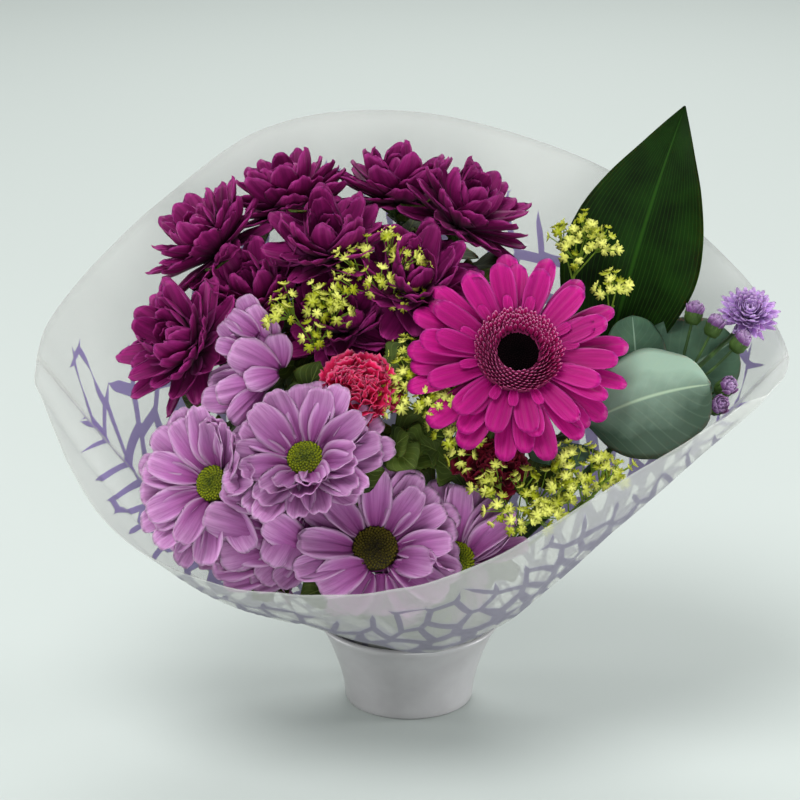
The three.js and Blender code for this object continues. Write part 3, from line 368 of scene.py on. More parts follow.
def mix(a, b, share):
    """The value at a share of the way from a to b."""
    return a + (b - a) * share


def cubic(s, start, slope_start, end, slope_end):
    """A cubic from one value and slope to another, at a share s of the way."""
    return ((2 * s ** 3 - 3 * s ** 2 + 1) * start + (s ** 3 - 2 * s ** 2 + s) * slope_start
            + (3 * s ** 2 - 2 * s ** 3) * end + (s ** 3 - s ** 2) * slope_end)


def curve_through(knots, x):
    """A smooth curve through knots of (x, y)."""
    for (x0, y0), (x1, y1) in zip(knots, knots[1:]):
        if x <= x1:
            break
    spot = knots.index((x1, y1))
    before = knots[max(spot - 2, 0)]
    after = knots[min(spot + 1, len(knots) - 1)]
    width = x1 - x0
    slope0 = (y1 - before[1]) / (x1 - before[0]) * width
    slope1 = (after[1] - y0) / (after[0] - x0) * width
    return cubic((x - x0) / width, y0, slope0, y1, slope1)


def frame_at(place, facing):
    """A flower's own frame: its centre, the way it faces, and two directions in its plane."""
    normal = Vector(facing).normalized()
    across = Vector((-normal.y, normal.x, 0))
    if across.length < 0.05:
        across = Vector((1, 0, 0))
    across.normalize()
    return Vector(place), across, normal.cross(across), normal


def point_at(spot, angle, radius, height, aside=0):
    place, across, upward, normal = spot
    outward = across * math.cos(angle) + upward * math.sin(angle)
    sideways = upward * math.cos(angle) - across * math.sin(angle)
    return place + outward * radius + normal * height + sideways * aside


def turn_at(spot, angle, lift, roll=0.0):
    """How a petal that points along +X with its face to +Z is turned to stand at a place on a flower."""
    _, across, upward, normal = spot
    outward = across * math.cos(angle) + upward * math.sin(angle)
    sideways = upward * math.cos(angle) - across * math.sin(angle)
    along = outward * math.cos(lift) + normal * math.sin(lift)
    face = normal * math.cos(lift) - outward * math.sin(lift)
    turned = Matrix((along, sideways, face)).transposed()
    return (turned @ Matrix.Rotation(roll, 3, "X")).to_euler()


# Mesh making

def new_mesh(name, points, faces, finish=None, uvs=None, shade=None):
    """A smooth mesh in metres from points in millimetres; uvs give one pair for each point."""
    mesh = bpy.data.meshes.new(name)
    mesh.from_pydata([Vector(p) * MM for p in points], [], faces)
    for face in mesh.polygons:
        face.use_smooth = True
    if uvs is not None:
        layer = mesh.uv_layers.new(name="UVMap")
        for corner in mesh.loops:
            layer.data[corner.index].uv = uvs[corner.vertex_index]
    if shade is not None:
        layer = mesh.attributes.new("shade", "FLOAT", "POINT")
        layer.data.foreach_set("value", [shade] * len(points))
    if finish:
        mesh.materials.append(finish)
    mesh.update()
    return mesh


def new_object(name, mesh):
    made = bpy.data.objects.new(name, mesh)
    bpy.context.scene.collection.objects.link(made)
    return made


def joined(name, meshes):
    """One object from several meshes; each keeps its own finish."""
    parts = [new_object(name if i == 0 else f"{name}_part", mesh) for i, mesh in enumerate(meshes)]
    if len(parts) > 1:
        with bpy.context.temp_override(active_object=parts[0], object=parts[0],
                                       selected_objects=parts, selected_editable_objects=parts):
            bpy.ops.object.join()
    parts[0].data.name = name
    return parts[0]


def thin_shell(name, rows, columns, place, finish=None):
    """A closed thin body: place(share, side) gives a point of its top and the one under it.

    share runs from 0 at the root to 1 at the tip, and side from -1 to 1 across. Both faces have one border.
    """
    shares = [row / rows for row in range(rows + 1)]
    sides = [2 * column / columns - 1 for column in range(columns + 1)]
    grid = [[place(share, side) for side in sides] for share in shares]
    points, number, uvs = [], {}, []
    for layer in (0, 1):
        for row, share in enumerate(shares):
            for column, side in enumerate(sides):
                if layer and (row in (0, rows) or column in (0, columns)):
                    number[layer, row, column] = number[0, row, column]
                    continue
                number[layer, row, column] = len(points)
                points.append(grid[row][column][layer])
                uvs.append(((side + 1) / 2, share))
    faces = []
    for row in range(rows):
        for column in range(columns):
            corners = [(row, column), (row, column + 1), (row + 1, column + 1), (row + 1, column)]
            faces.append([number[(0, *c)] for c in reversed(corners)])
            faces.append([number[(1, *c)] for c in corners])
    return new_mesh(name, points, faces, finish, uvs)


def ring_points(radius, height, sides):
    turns = [2 * math.pi * side / sides for side in range(sides)]
    return [(radius * math.cos(turn), radius * math.sin(turn), height) for turn in turns]


def lathe_faces(rows, sides):
    """The faces of a turned body, whose points are the foot's middle, rings upwards and the top's middle."""
    last = 1 + rows * sides
    faces = []
    for side in range(sides):
        after = (side + 1) % sides
        faces += [(0, 1 + after, 1 + side), (last, last - sides + side, last - sides + after)]
        for row in range(rows - 1):
            here = 1 + row * sides
            faces.append((here + side, here + after, here + sides + after, here + sides + side))
    return faces


def turned_body(name, spot, outline, sides, finish, uv=None, shade=None):
    """A closed body round a flower's axis, from an outline of (radius, height) that runs upwards."""
    points = [point_at(spot, 0, 0, outline[0][1])]
    for radius, height in outline:
        points += [point_at(spot, 2 * math.pi * side / sides, radius, height) for side in range(sides)]
    points.append(point_at(spot, 0, 0, outline[-1][1]))
    uvs = [uv] * len(points) if uv else None
    return new_mesh(name, points, lathe_faces(len(outline), sides), finish, uvs, shade)


def petal_mesh(name, length, width, curl, seed, look):
    """A petal that points along +X: arched by its curl, cupped and grooved, with a rounded end."""
    draw = random.Random(seed)
    arc = math.radians(curl)
    twist = math.radians(draw.uniform(-1, 1) * look.get("twist", 8))
    phase = draw.uniform(0, 6.28)
    cup = look["cup"] * draw.uniform(0.4, 1.8)
    hook = look.get("hook", 0) * draw.uniform(0.2, 1.8)

    def place(share, side):
        half = width / 2 * curve_through(look["outline"], share)
        rounding = 1 - (1 - abs(side) ** 2) ** look.get("sharp", 0.5)
        notch = look.get("notch", 0) * math.exp(-(side / 0.2) ** 2) * smooth(0.8, 1, share)
        along = share * (1 - look.get("end", 0.3) * rounding) - notch
        turn = arc * along + math.radians(hook) * smooth(0.6, 1.05, share) * along
        x = length * along * math.cos(turn * 0.5)
        z = length * along * math.sin(turn * 0.5)
        lift = cup * half * side * side * (0.35 + 0.65 * math.sin(math.pi * min(share + 0.12, 1)))
        groove = look.get("groove", 0) * math.cos(side * math.pi * look.get("grooves", 3))
        lift += groove * (1 - side ** 4)
        lift += look.get("wave", 0) * math.sin(5.2 * share + phase + 1.5 * side) * abs(side) ** 2 * share
        aside = half * side
        angle = twist * share
        y = aside * math.cos(angle) - lift * math.sin(angle)
        rise = aside * math.sin(angle) + lift * math.cos(angle)
        face = Vector((-math.sin(turn), 0, math.cos(turn)))
        spot = Vector((x, y, z)) + face * rise
        depth = look.get("thick", 0.5) * (1 - side ** 2) * (1.15 - 0.75 * share)
        return spot, spot - face * depth

    return thin_shell(name, look.get("rows", 12), look.get("columns", 10), place)


# Geometry node trees

def new_tree(name, inputs):
    """A modifier's tree with its named inputs, (name, kind, value), after the geometry itself."""
    tree = bpy.data.node_groups.new(name, "GeometryNodeTree")
    tree.is_modifier = True
    for label, kind, value in [("Geometry", "Geometry", None), *inputs]:
        socket = tree.interface.new_socket(label, in_out="INPUT", socket_type=f"NodeSocket{kind}")
        if value is not None:
            socket.default_value = value
    tree.interface.new_socket("Geometry", in_out="OUTPUT", socket_type="NodeSocketGeometry")
    return tree, node(tree, "NodeGroupInput").outputs


def end_tree(tree, geometry, finish):
    """Ends a tree: whatever it laid becomes one real mesh with one finish."""
    real = node(tree, "GeometryNodeRealizeInstances", {}, {0: geometry})
    finished = node(tree, "GeometryNodeSetMaterial", {}, {0: real, "Material": finish})
    node(tree, "NodeGroupOutput", {}, {0: finished})
    return tree


def points_tree():
    """Sets one of a set of small bodies on each point, turned and stretched as the point says."""
    tree, start = new_tree("set_on_points", [
        ("Bodies", "Collection", None), ("Size", "Float", 1), ("Seed", "Int", 1),
        ("Finish", "Material", None),
    ])
    bodies = node(tree, "GeometryNodeCollectionInfo", {"transform_space": "ORIGINAL"},
                  {"Collection": start["Bodies"], "Separate Children": True, "Reset Children": True})
    turn = node(tree, NAMED, {"data_type": "FLOAT_VECTOR"}, {"Name": "turn"})
    stretch = node(tree, NAMED, {"data_type": "FLOAT_VECTOR"}, {"Name": "stretch"})
    body = node(tree, NAMED, {"data_type": "INT"}, {"Name": "body"})
    turned = node(tree, "FunctionNodeEulerToRotation", {}, {0: turn})
    sized = node(tree, "ShaderNodeVectorMath", {"operation": "SCALE"}, {0: stretch, "Scale": start["Size"]})
    laid = node(tree, "GeometryNodeInstanceOnPoints", {}, {
        "Points": start["Geometry"], "Instance": bodies, "Pick Instance": True, "Instance Index": body,
        "Rotation": turned, "Scale": sized,
    })
    draw = node(tree, "FunctionNodeRandomValue", {"data_type": "FLOAT"}, {"Seed": start["Seed"]})
    shade = node(tree, "GeometryNodeStoreNamedAttribute", {"data_type": "FLOAT", "domain": "INSTANCE"},
                 {0: laid, "Name": "shade", "Value": draw.outputs[1]})
    return end_tree(tree, shade, start["Finish"])


def disc_tree():
    """Sets florets on a low dome or ring in the order that a daisy's disc grows them."""
    tree, start = new_tree("disc_of_florets", [
        ("Inner radius", "Float", 0.0), ("Outer radius", "Float", 0.01), ("Rise", "Float", 0.003),
        ("Bend", "Float", 0.0), ("Least size", "Float", 0.7), ("Most size", "Float", 1.0),
        ("Count", "Int", 100), ("Seed", "Int", 1), ("Floret", "Object", None), ("Finish", "Material", None),
    ])
    line = node(tree, "GeometryNodeMeshLine", {}, {"Count": start["Count"]})
    index = node(tree, "GeometryNodeInputIndex")
    # Every floret has the same room: its radius grows with the root of its place in the row
    counted = node(tree, MATH, PLUS, {0: index, 1: 0.5})
    share = node(tree, MATH, {"operation": "DIVIDE"}, {0: counted, 1: start["Count"]})
    inner = node(tree, MATH, {"operation": "POWER"}, {0: start["Inner radius"], 1: 2.0})
    outer = node(tree, MATH, {"operation": "POWER"}, {0: start["Outer radius"], 1: 2.0})
    room = node(tree, MATH, {"operation": "SUBTRACT"}, {0: outer, 1: inner})
    square = node(tree, MATH, TIMES_PLUS, {0: share, 1: room, 2: inner})
    radius = node(tree, MATH, {"operation": "SQRT"}, {0: square})
    angle = node(tree, MATH, TIMES, {0: index, 1: GOLDEN_ANGLE})
    across = node(tree, MATH, {"operation": "DIVIDE"}, {0: radius, 1: start["Outer radius"]})
    across_square = node(tree, MATH, {"operation": "POWER"}, {0: across, 1: 2.0})
    drop = node(tree, MATH, TIMES, {0: across_square, 1: DOME_DROP})
    left = node(tree, MATH, {"operation": "SUBTRACT"}, {0: 1.0, 1: drop})
    dome = node(tree, MATH, {"operation": "SQRT"}, {0: left})
    cosine = node(tree, MATH, {"operation": "COSINE"}, {0: angle})
    sine = node(tree, MATH, {"operation": "SINE"}, {0: angle})
    place = node(tree, "ShaderNodeCombineXYZ", {}, {
        0: node(tree, MATH, TIMES, {0: radius, 1: cosine}),
        1: node(tree, MATH, TIMES, {0: radius, 1: sine}),
        2: node(tree, MATH, TIMES, {0: dome, 1: start["Rise"]}),
    })
    points = node(tree, "GeometryNodeSetPosition", {}, {0: line, "Position": place})
    bent = node(tree, MATH, TIMES, {0: across, 1: start["Bend"]})
    turn = node(tree, "ShaderNodeCombineXYZ", {}, {1: bent, 2: angle})
    turned = node(tree, "FunctionNodeEulerToRotation", {}, {0: turn})
    draw = node(tree, "FunctionNodeRandomValue", {"data_type": "FLOAT"},
                {2: start["Least size"], 3: start["Most size"], "Seed": start["Seed"]})
    floret = node(tree, "GeometryNodeObjectInfo", {}, {"Object": start["Floret"]})
    laid = node(tree, "GeometryNodeInstanceOnPoints", {}, {
        "Points": points, "Instance": floret.outputs["Geometry"], "Rotation": turned,
        "Scale": draw.outputs[1],
    })
    tone = node(tree, "GeometryNodeStoreNamedAttribute", {"data_type": "FLOAT", "domain": "INSTANCE"},
                {0: laid, "Name": "shade", "Value": across})
    both = node(tree, "GeometryNodeJoinGeometry", {}, {0: tone})
    tree.links.new(start["Geometry"], both.inputs[0])
    return end_tree(tree, both, start["Finish"])


def tube_tree():
    """Gives the edges of a mesh a round section, as wide as each point says."""
    tree, start = new_tree("stems_along_lines", [
        ("Sides", "Int", 8), ("Step", "Float", 0.004), ("Finish", "Material", None),
    ])
    line = node(tree, "GeometryNodeMeshToCurve", {}, {0: start["Geometry"]})
    kind = node(tree, "GeometryNodeCurveSplineType", {"spline_type": "CATMULL_ROM"}, {0: line})
    even = node(tree, "GeometryNodeResampleCurve", {"mode": "LENGTH"}, {0: kind, "Length": start["Step"]})
    wide = node(tree, NAMED, {"data_type": "FLOAT"}, {"Name": "wide"})
    ring = node(tree, "GeometryNodeCurvePrimitiveCircle", {}, {"Resolution": start["Sides"], "Radius": 1.0})
    tube = node(tree, "GeometryNodeCurveToMesh", {},
                {"Curve": even, "Profile Curve": ring, "Fill Caps": True, "Scale": wide})
    return end_tree(tree, node(tree, "GeometryNodeSetShadeSmooth", {}, {0: tube}), start["Finish"])


def grown(tree, source, values):
    """Runs a tree on a mesh with named values, and returns the result as a plain mesh."""
    holder = new_object("seed_of_piece", source)
    modifier = holder.modifiers.new("grow", "NODES")
    modifier.node_group = tree
    for item in tree.interface.items_tree:
        if item.item_type == "SOCKET" and item.in_out == "INPUT" and item.name in values:
            modifier[item.identifier] = values[item.name]
    graph = bpy.context.evaluated_depsgraph_get()
    mesh = bpy.data.meshes.new_from_object(holder.evaluated_get(graph), depsgraph=graph)
    bpy.data.objects.remove(holder)
    for name in ("turn", "stretch", "body", "wide"):
        if name in mesh.attributes:
            mesh.attributes.remove(mesh.attributes[name])
    return mesh


def set_on_points(spots, bodies, finish, seed=1):
    """spots are (place in mm, turn, stretch, number of the body)."""
    mesh = bpy.data.meshes.new("spots")
    mesh.from_pydata([Vector(s[0]) * MM for s in spots], [], [])
    for name, kind, values in (
        ("turn", "FLOAT_VECTOR", [tuple(s[1]) for s in spots]),
        ("stretch", "FLOAT_VECTOR", [tuple(s[2]) for s in spots]),
    ):
        layer = mesh.attributes.new(name, kind, "POINT")
        layer.data.foreach_set("vector", [v for value in values for v in value])
    layer = mesh.attributes.new("body", "INT", "POINT")
    layer.data.foreach_set("value", [s[3] for s in spots])
    return grown(POINTS_TREE, mesh, {"Bodies": bodies, "Seed": seed, "Finish": finish})


BODY_SETS = []


def body_set(name, meshes):
    """A collection of small bodies that a tree draws from. The last lines of the script remove it."""
    made = bpy.data.collections.new(name)
    for number, mesh in enumerate(meshes):
        made.objects.link(bpy.data.objects.new(f"{name}_{number:02d}", mesh))
    BODY_SETS.append(made)
    return made


def tubes(lines, finish, sides=8, step=4):
    """Round stems along lines of (points in mm, radius at the start, radius at the end)."""
    points, edges, wide = [], [], []
    for line, first, last in lines:
        start = len(points)
        for spot, point in enumerate(line):
            points.append(Vector(point) * MM)
            wide.append(mix(first, last, spot / (len(line) - 1)) * MM)
        edges += [(start + i, start + i + 1) for i in range(len(line) - 1)]
    mesh = bpy.data.meshes.new("lines")
    mesh.from_pydata(points, edges, [])
    layer = mesh.attributes.new("wide", "FLOAT", "POINT")
    layer.data.foreach_set("value", wide)
    return grown(TUBE_TREE, mesh, {"Sides": sides, "Step": step * MM, "Finish": finish})


POINTS_TREE = points_tree()
DISC_TREE = disc_tree()
TUBE_TREE = tube_tree()


# Finishes

def new_finish(name):
    finish = bpy.data.materials.new(name)
    finish.use_nodes = True
    tree = finish.node_tree
    tree.nodes.clear()
    shader = node(tree, "ShaderNodeBsdfPrincipled")
    node(tree, "ShaderNodeOutputMaterial", {}, {0: shader})
    return finish, tree, shader


def petal_finish(name, stops, edge, vein, grooves, roughness=0.55, spread=0.22, soft=0.2):
    """A fresh petal: a thin wet skin that lets a little light through, with fine grooves along it.

    stops are its colours from root to tip; spread is how far petals differ from each other.
    """
    finish, tree, shader = new_finish(name)
    uv = node(tree, "ShaderNodeUVMap", {"uv_map": "UVMap"})
    axes = node(tree, "ShaderNodeSeparateXYZ", {}, {0: uv})
    shade = node(tree, ATTRIBUTE, {"attribute_name": "shade"})
    tone = node(tree, RAMP, {"stops": [(p, colour(c)) for p, c in stops]}, {0: axes.outputs[1]})
    centred = node(tree, MATH, TIMES_PLUS, {0: axes, 1: 2.0, 2: -1.0})
    off = node(tree, MATH, {"operation": "ABSOLUTE"}, {0: centred})
    near_edge = node(tree, RANGE, EASED, {0: off, 1: 0.7, 2: 1.0, 3: 0.0, 4: 0.45})
    edged = node(tree, MIX, COLOURS, {0: near_edge, 6: tone, 7: colour(edge)})
    stretched = node(tree, "ShaderNodeMapping", {}, {0: uv, "Scale": (grooves * 2.2, 1.2, 1.0)})
    streak = node(tree, NOISE, {}, {"Vector": stretched, "Scale": 1.6, "Detail": 3.0})
    vein_share = node(tree, RANGE, {}, {0: streak, 1: 0.42, 2: 0.72, 3: 0.0, 4: 0.55})
    veined = node(tree, MIX, COLOURS, {0: vein_share, 6: edged.outputs[2], 7: colour(vein)})
    value = node(tree, RANGE, {}, {0: shade.outputs["Fac"], 3: 1 - spread, 4: 1 + spread * 0.6})
    varied = node(tree, "ShaderNodeHueSaturation", {}, {"Value": value, "Color": veined.outputs[2]})
    ridge = node(tree, MATH, TIMES, {0: axes, 1: grooves * 2 * math.pi})
    wave = node(tree, MATH, {"operation": "COSINE"}, {0: ridge})
    depth = node(tree, MATH, TIMES_PLUS, {0: wave, 1: 0.4, 2: streak})
    set_inputs(shader, {
        "Base Color": varied, "Roughness": roughness, "Specular IOR Level": 0.12,
        "Normal": node(tree, BUMP, {}, {"Strength": 0.45, "Distance": 0.0006, "Height": depth}),
        "Subsurface Weight": soft, "Subsurface Radius": (0.004, 0.002, 0.003), "Subsurface Scale": 0.4,
        "Sheen Weight": 0.02, "Sheen Roughness": 0.4,
    })
    return finish


def plain_plant_finish(name, dark, light, scale, roughness=0.6, by_shade=0.5, gloss=0.18):
    """Stems, discs and tiny florets: one green or brown skin with soft mottling and a tone for each body."""
    finish, tree, shader = new_finish(name)
    place = node(tree, "ShaderNodeTexCoord")
    spots = node(tree, NOISE, {}, {"Vector": place.outputs["Object"], "Scale": scale, "Detail": 4.0})
    shade = node(tree, ATTRIBUTE, {"attribute_name": "shade"})
    tone = node(tree, MATH, TIMES_PLUS, {0: shade.outputs["Fac"], 1: by_shade, 2: -0.5 * by_shade})
    mixed = node(tree, MATH, {"operation": "ADD", "use_clamp": True}, {0: tone, 1: spots})
    tint = node(tree, RAMP, {"stops": [(0.25, colour(dark)), (0.75, colour(light))]}, {0: mixed})
    bump = node(tree, BUMP, {}, {"Strength": 0.5, "Distance": 0.0003, "Height": spots})
    set_inputs(shader, {
        "Base Color": tint, "Normal": bump, "Roughness": roughness, "Specular IOR Level": gloss,
    })
    return finish


def blade_finish(name, dark, light, rib, veins, slope, roughness, vein_strength,
                 parallel=False, gloss=0.2, shaded_half=0.0):
    """A leaf blade with a rib down its middle; veins run along it or leave the rib at a slant.

    The last argument tells how far one half of the blade takes the dark tone: painted shade on the half that
    is turned away from the light.
    """
    finish, tree, shader = new_finish(name)
    uv = node(tree, "ShaderNodeUVMap", {"uv_map": "UVMap"})
    axes = node(tree, "ShaderNodeSeparateXYZ", {}, {0: uv})
    centred = node(tree, MATH, TIMES_PLUS, {0: axes, 1: 2.0, 2: -1.0})
    off = node(tree, MATH, {"operation": "ABSOLUTE"}, {0: centred})
    if parallel:
        run = node(tree, MATH, TIMES, {0: off, 1: veins})
    else:
        slant = node(tree, MATH, TIMES, {0: off, 1: -slope})
        along = node(tree, MATH, PLUS, {0: slant, 1: axes.outputs[1]})
        run = node(tree, MATH, TIMES, {0: along, 1: veins})
    wave = node(tree, MATH, {"operation": "PINGPONG"}, {0: run, 1: 0.5})
    vein = node(tree, RANGE, {}, {0: wave, 1: 0.0, 2: 0.12, 3: 1.0, 4: 0.0})
    middle = node(tree, RANGE, {}, {0: off, 1: 0.01, 2: 0.04, 3: 0.8, 4: 0.0})
    place = node(tree, "ShaderNodeTexCoord")
    spots = node(tree, NOISE, {}, {"Vector": place.outputs["Object"], "Scale": 60.0, "Detail": 5.0})
    # Painted shade: one half of the blade is darkened, as if turned away from the light
    half = node(tree, MATH, TIMES_PLUS, {0: axes, 1: -shaded_half, 2: shaded_half})
    mottled_and_shaded = node(tree, MATH, TIMES_PLUS, {0: spots, 1: 1 - shaded_half, 2: half})
    tint = node(tree, RAMP, {"stops": [(0.3, colour(dark)), (0.7, colour(light))]}, {0: mottled_and_shaded})
    faint = node(tree, MATH, TIMES, {0: vein, 1: vein_strength})
    most = node(tree, MATH, {"operation": "MAXIMUM"}, {0: faint, 1: middle})
    ribbed = node(tree, MIX, COLOURS, {0: most, 6: tint, 7: colour(rib)})
    height = node(tree, MATH, TIMES_PLUS, {0: most, 1: -0.6, 2: spots})
    set_inputs(shader, {
        "Base Color": ribbed.outputs[2], "Roughness": roughness, "Specular IOR Level": gloss,
        "Normal": node(tree, BUMP, {}, {"Strength": 0.5, "Distance": 0.0005, "Height": height}),
        "Subsurface Weight": 0.08, "Subsurface Scale": 0.002,
    })
    return finish


# Lilac ray petals: matt, deeper pink at the throat and pale at the edge
petal_lilac = petal_finish(
    "chrysanthemum_petal_lilac",
    [(0.0, "#5e1e56"), (0.24, "#8a4481"), (0.6, "#a769a2"), (1.0, "#c294bf")], "#dab8d8", "#82407c",
    grooves=5)
# Dark magenta ray petals, deeper still at the throat
petal_purple = petal_finish(
    "chrysanthemum_petal_purple",
    [(0.0, "#28021a"), (0.3, "#580a3f"), (0.75, "#7e155c"), (1.0, "#92236e")], "#a04488", "#440732",
    grooves=5, soft=0.1)
# Hot pink gerbera rays: smoother and more even than the chrysanthemums
petal_gerbera = petal_finish(
    "gerbera_petal_hot_pink",
    [(0.0, "#60043c"), (0.3, "#92095f"), (0.75, "#ab0f72"), (1.0, "#ba1880")], "#cb3a96", "#85065a",
    grooves=4, roughness=0.5, soft=0.2)
# Lavender aster rays, pale at the tip
petal_aster = petal_finish(
    "aster_petal_lavender", [(0.0, "#6c4484"), (0.5, "#a67ac2"), (1.0, "#d0aee6")], "#d8bcea", "#845ca2",
    grooves=2)
# Aster buds: darker mauve outside
petal_bud = petal_finish(
    "aster_bud_mauve", [(0.0, "#4a2450"), (0.6, "#7c4e88"), (1.0, "#b592c4")], "#a884b8", "#5c3666",
    grooves=2)
# Carnation: crumpled, pale at the teeth of its edge
petal_carnation_pink = petal_finish(
    "carnation_petal_pink", [(0.0, "#9a052a"), (0.6, "#c80c44"), (0.92, "#d8225a"), (1.0, "#e65e88")],
    "#d22a5e", "#ac0a3a", grooves=4, spread=0.35)
petal_carnation_red = petal_finish(
    "carnation_petal_dark_red", [(0.0, "#24020a"), (0.6, "#520618"), (1.0, "#701026")],
    "#761832", "#3c0412", grooves=4, spread=0.3)
# Disc florets: tiny closed buds, waxy and close together
disc_green = plain_plant_finish("disc_floret_yellow_green", "#2c3a05", "#838d0c", 900, 0.6)
disc_olive = plain_plant_finish("disc_floret_olive_brown", "#100b01", "#4c4409", 900, 0.6)
disc_black = plain_plant_finish("disc_floret_near_black", "#020001", "#0c0406", 900, 0.8, gloss=0.03)
disc_lavender = plain_plant_finish("disc_floret_pale_lavender", "#8f7aa8", "#cbb8d8", 900, 0.6)
# Ring florets: dark crimson straps with pale tips
floret_crimson = petal_finish(
    "ring_floret_crimson", [(0.0, "#3a031e"), (0.45, "#8c0e4a"), (0.84, "#a81c62"), (1.0, "#dc86b2")],
    "#a8306e", "#780a42", grooves=1, roughness=0.5)
# Lady's mantle florets: matt sharp yellow-green stars
floret_filler = plain_plant_finish("lady_mantle_floret", "#a2aa1c", "#e8ea78", 500, 0.6, by_shade=0.6)
stalk_filler = plain_plant_finish("lady_mantle_stalk", "#6f8a2c", "#9db040", 300, 0.6)
# Stems: smooth waxy green skin, paler in places; bracts are greyer
stem_green = plain_plant_finish("flower_stem_green", "#253c18", "#4f6f30", 160, 0.5)
bract_green = plain_plant_finish("bract_grey_green", "#223812", "#4c6630", 200, 0.6)
# Leaf of a chrysanthemum: dull green with slanting veins
blade_lobed = blade_finish("chrysanthemum_leaf", "#16240a", "#48591c", "#6c7d3c", 9, 0.35, 0.65, 0.35)
# Eucalyptus: thick blade with a matt wax bloom and a pale rib, and painted shade on one half of the blade
blade_waxed = blade_finish("eucalyptus_leaf_waxed", "#35493b", "#90aa98", "#a3b89c", 11, 0.3, 0.6, 0.06,
                           shaded_half=0.7)
# The other leaves take a darker copy of the eucalyptus finish: painted shade
blade_shaded = blade_finish("eucalyptus_leaf_painted_shade", "#263f31", "#48664f", "#7d9682", 11, 0.3, 0.6, 0.06)
# Broad dark blade: leathery, with a soft gloss and veins along its length
blade_dark = blade_finish("broad_leaf_leathery", "#081703", "#143008", "#244a10", 15, 0.0, 0.55, 0.6,
                          parallel=True, gloss=0.06)


def glaze():
    """White glazed stoneware: a soft gloss over a faintly uneven body."""
    finish, tree, shader = new_finish("stoneware_white_glaze")
    place = node(tree, "ShaderNodeTexCoord").outputs["Object"]
    cloud = node(tree, NOISE, {}, {"Vector": place, "Scale": 26.0, "Detail": 4.0})
    grain = node(tree, NOISE, {}, {"Vector": place, "Scale": 700.0, "Detail": 2.0})
    tint = node(tree, RAMP, {"stops": [(0.3, colour("#8a898a")), (0.75, colour("#a5a4a6"))]}, {0: cloud})
    set_inputs(shader, {
        "Base Color": tint,
        "Normal": node(tree, BUMP, {}, {"Strength": 0.12, "Distance": 0.0002, "Height": grain}),
        "Roughness": node(tree, RANGE, {}, {0: cloud, 3: 0.34, 4: 0.46}),
        "Coat Weight": 0.25, "Coat Roughness": 0.25,
    })
    return finish


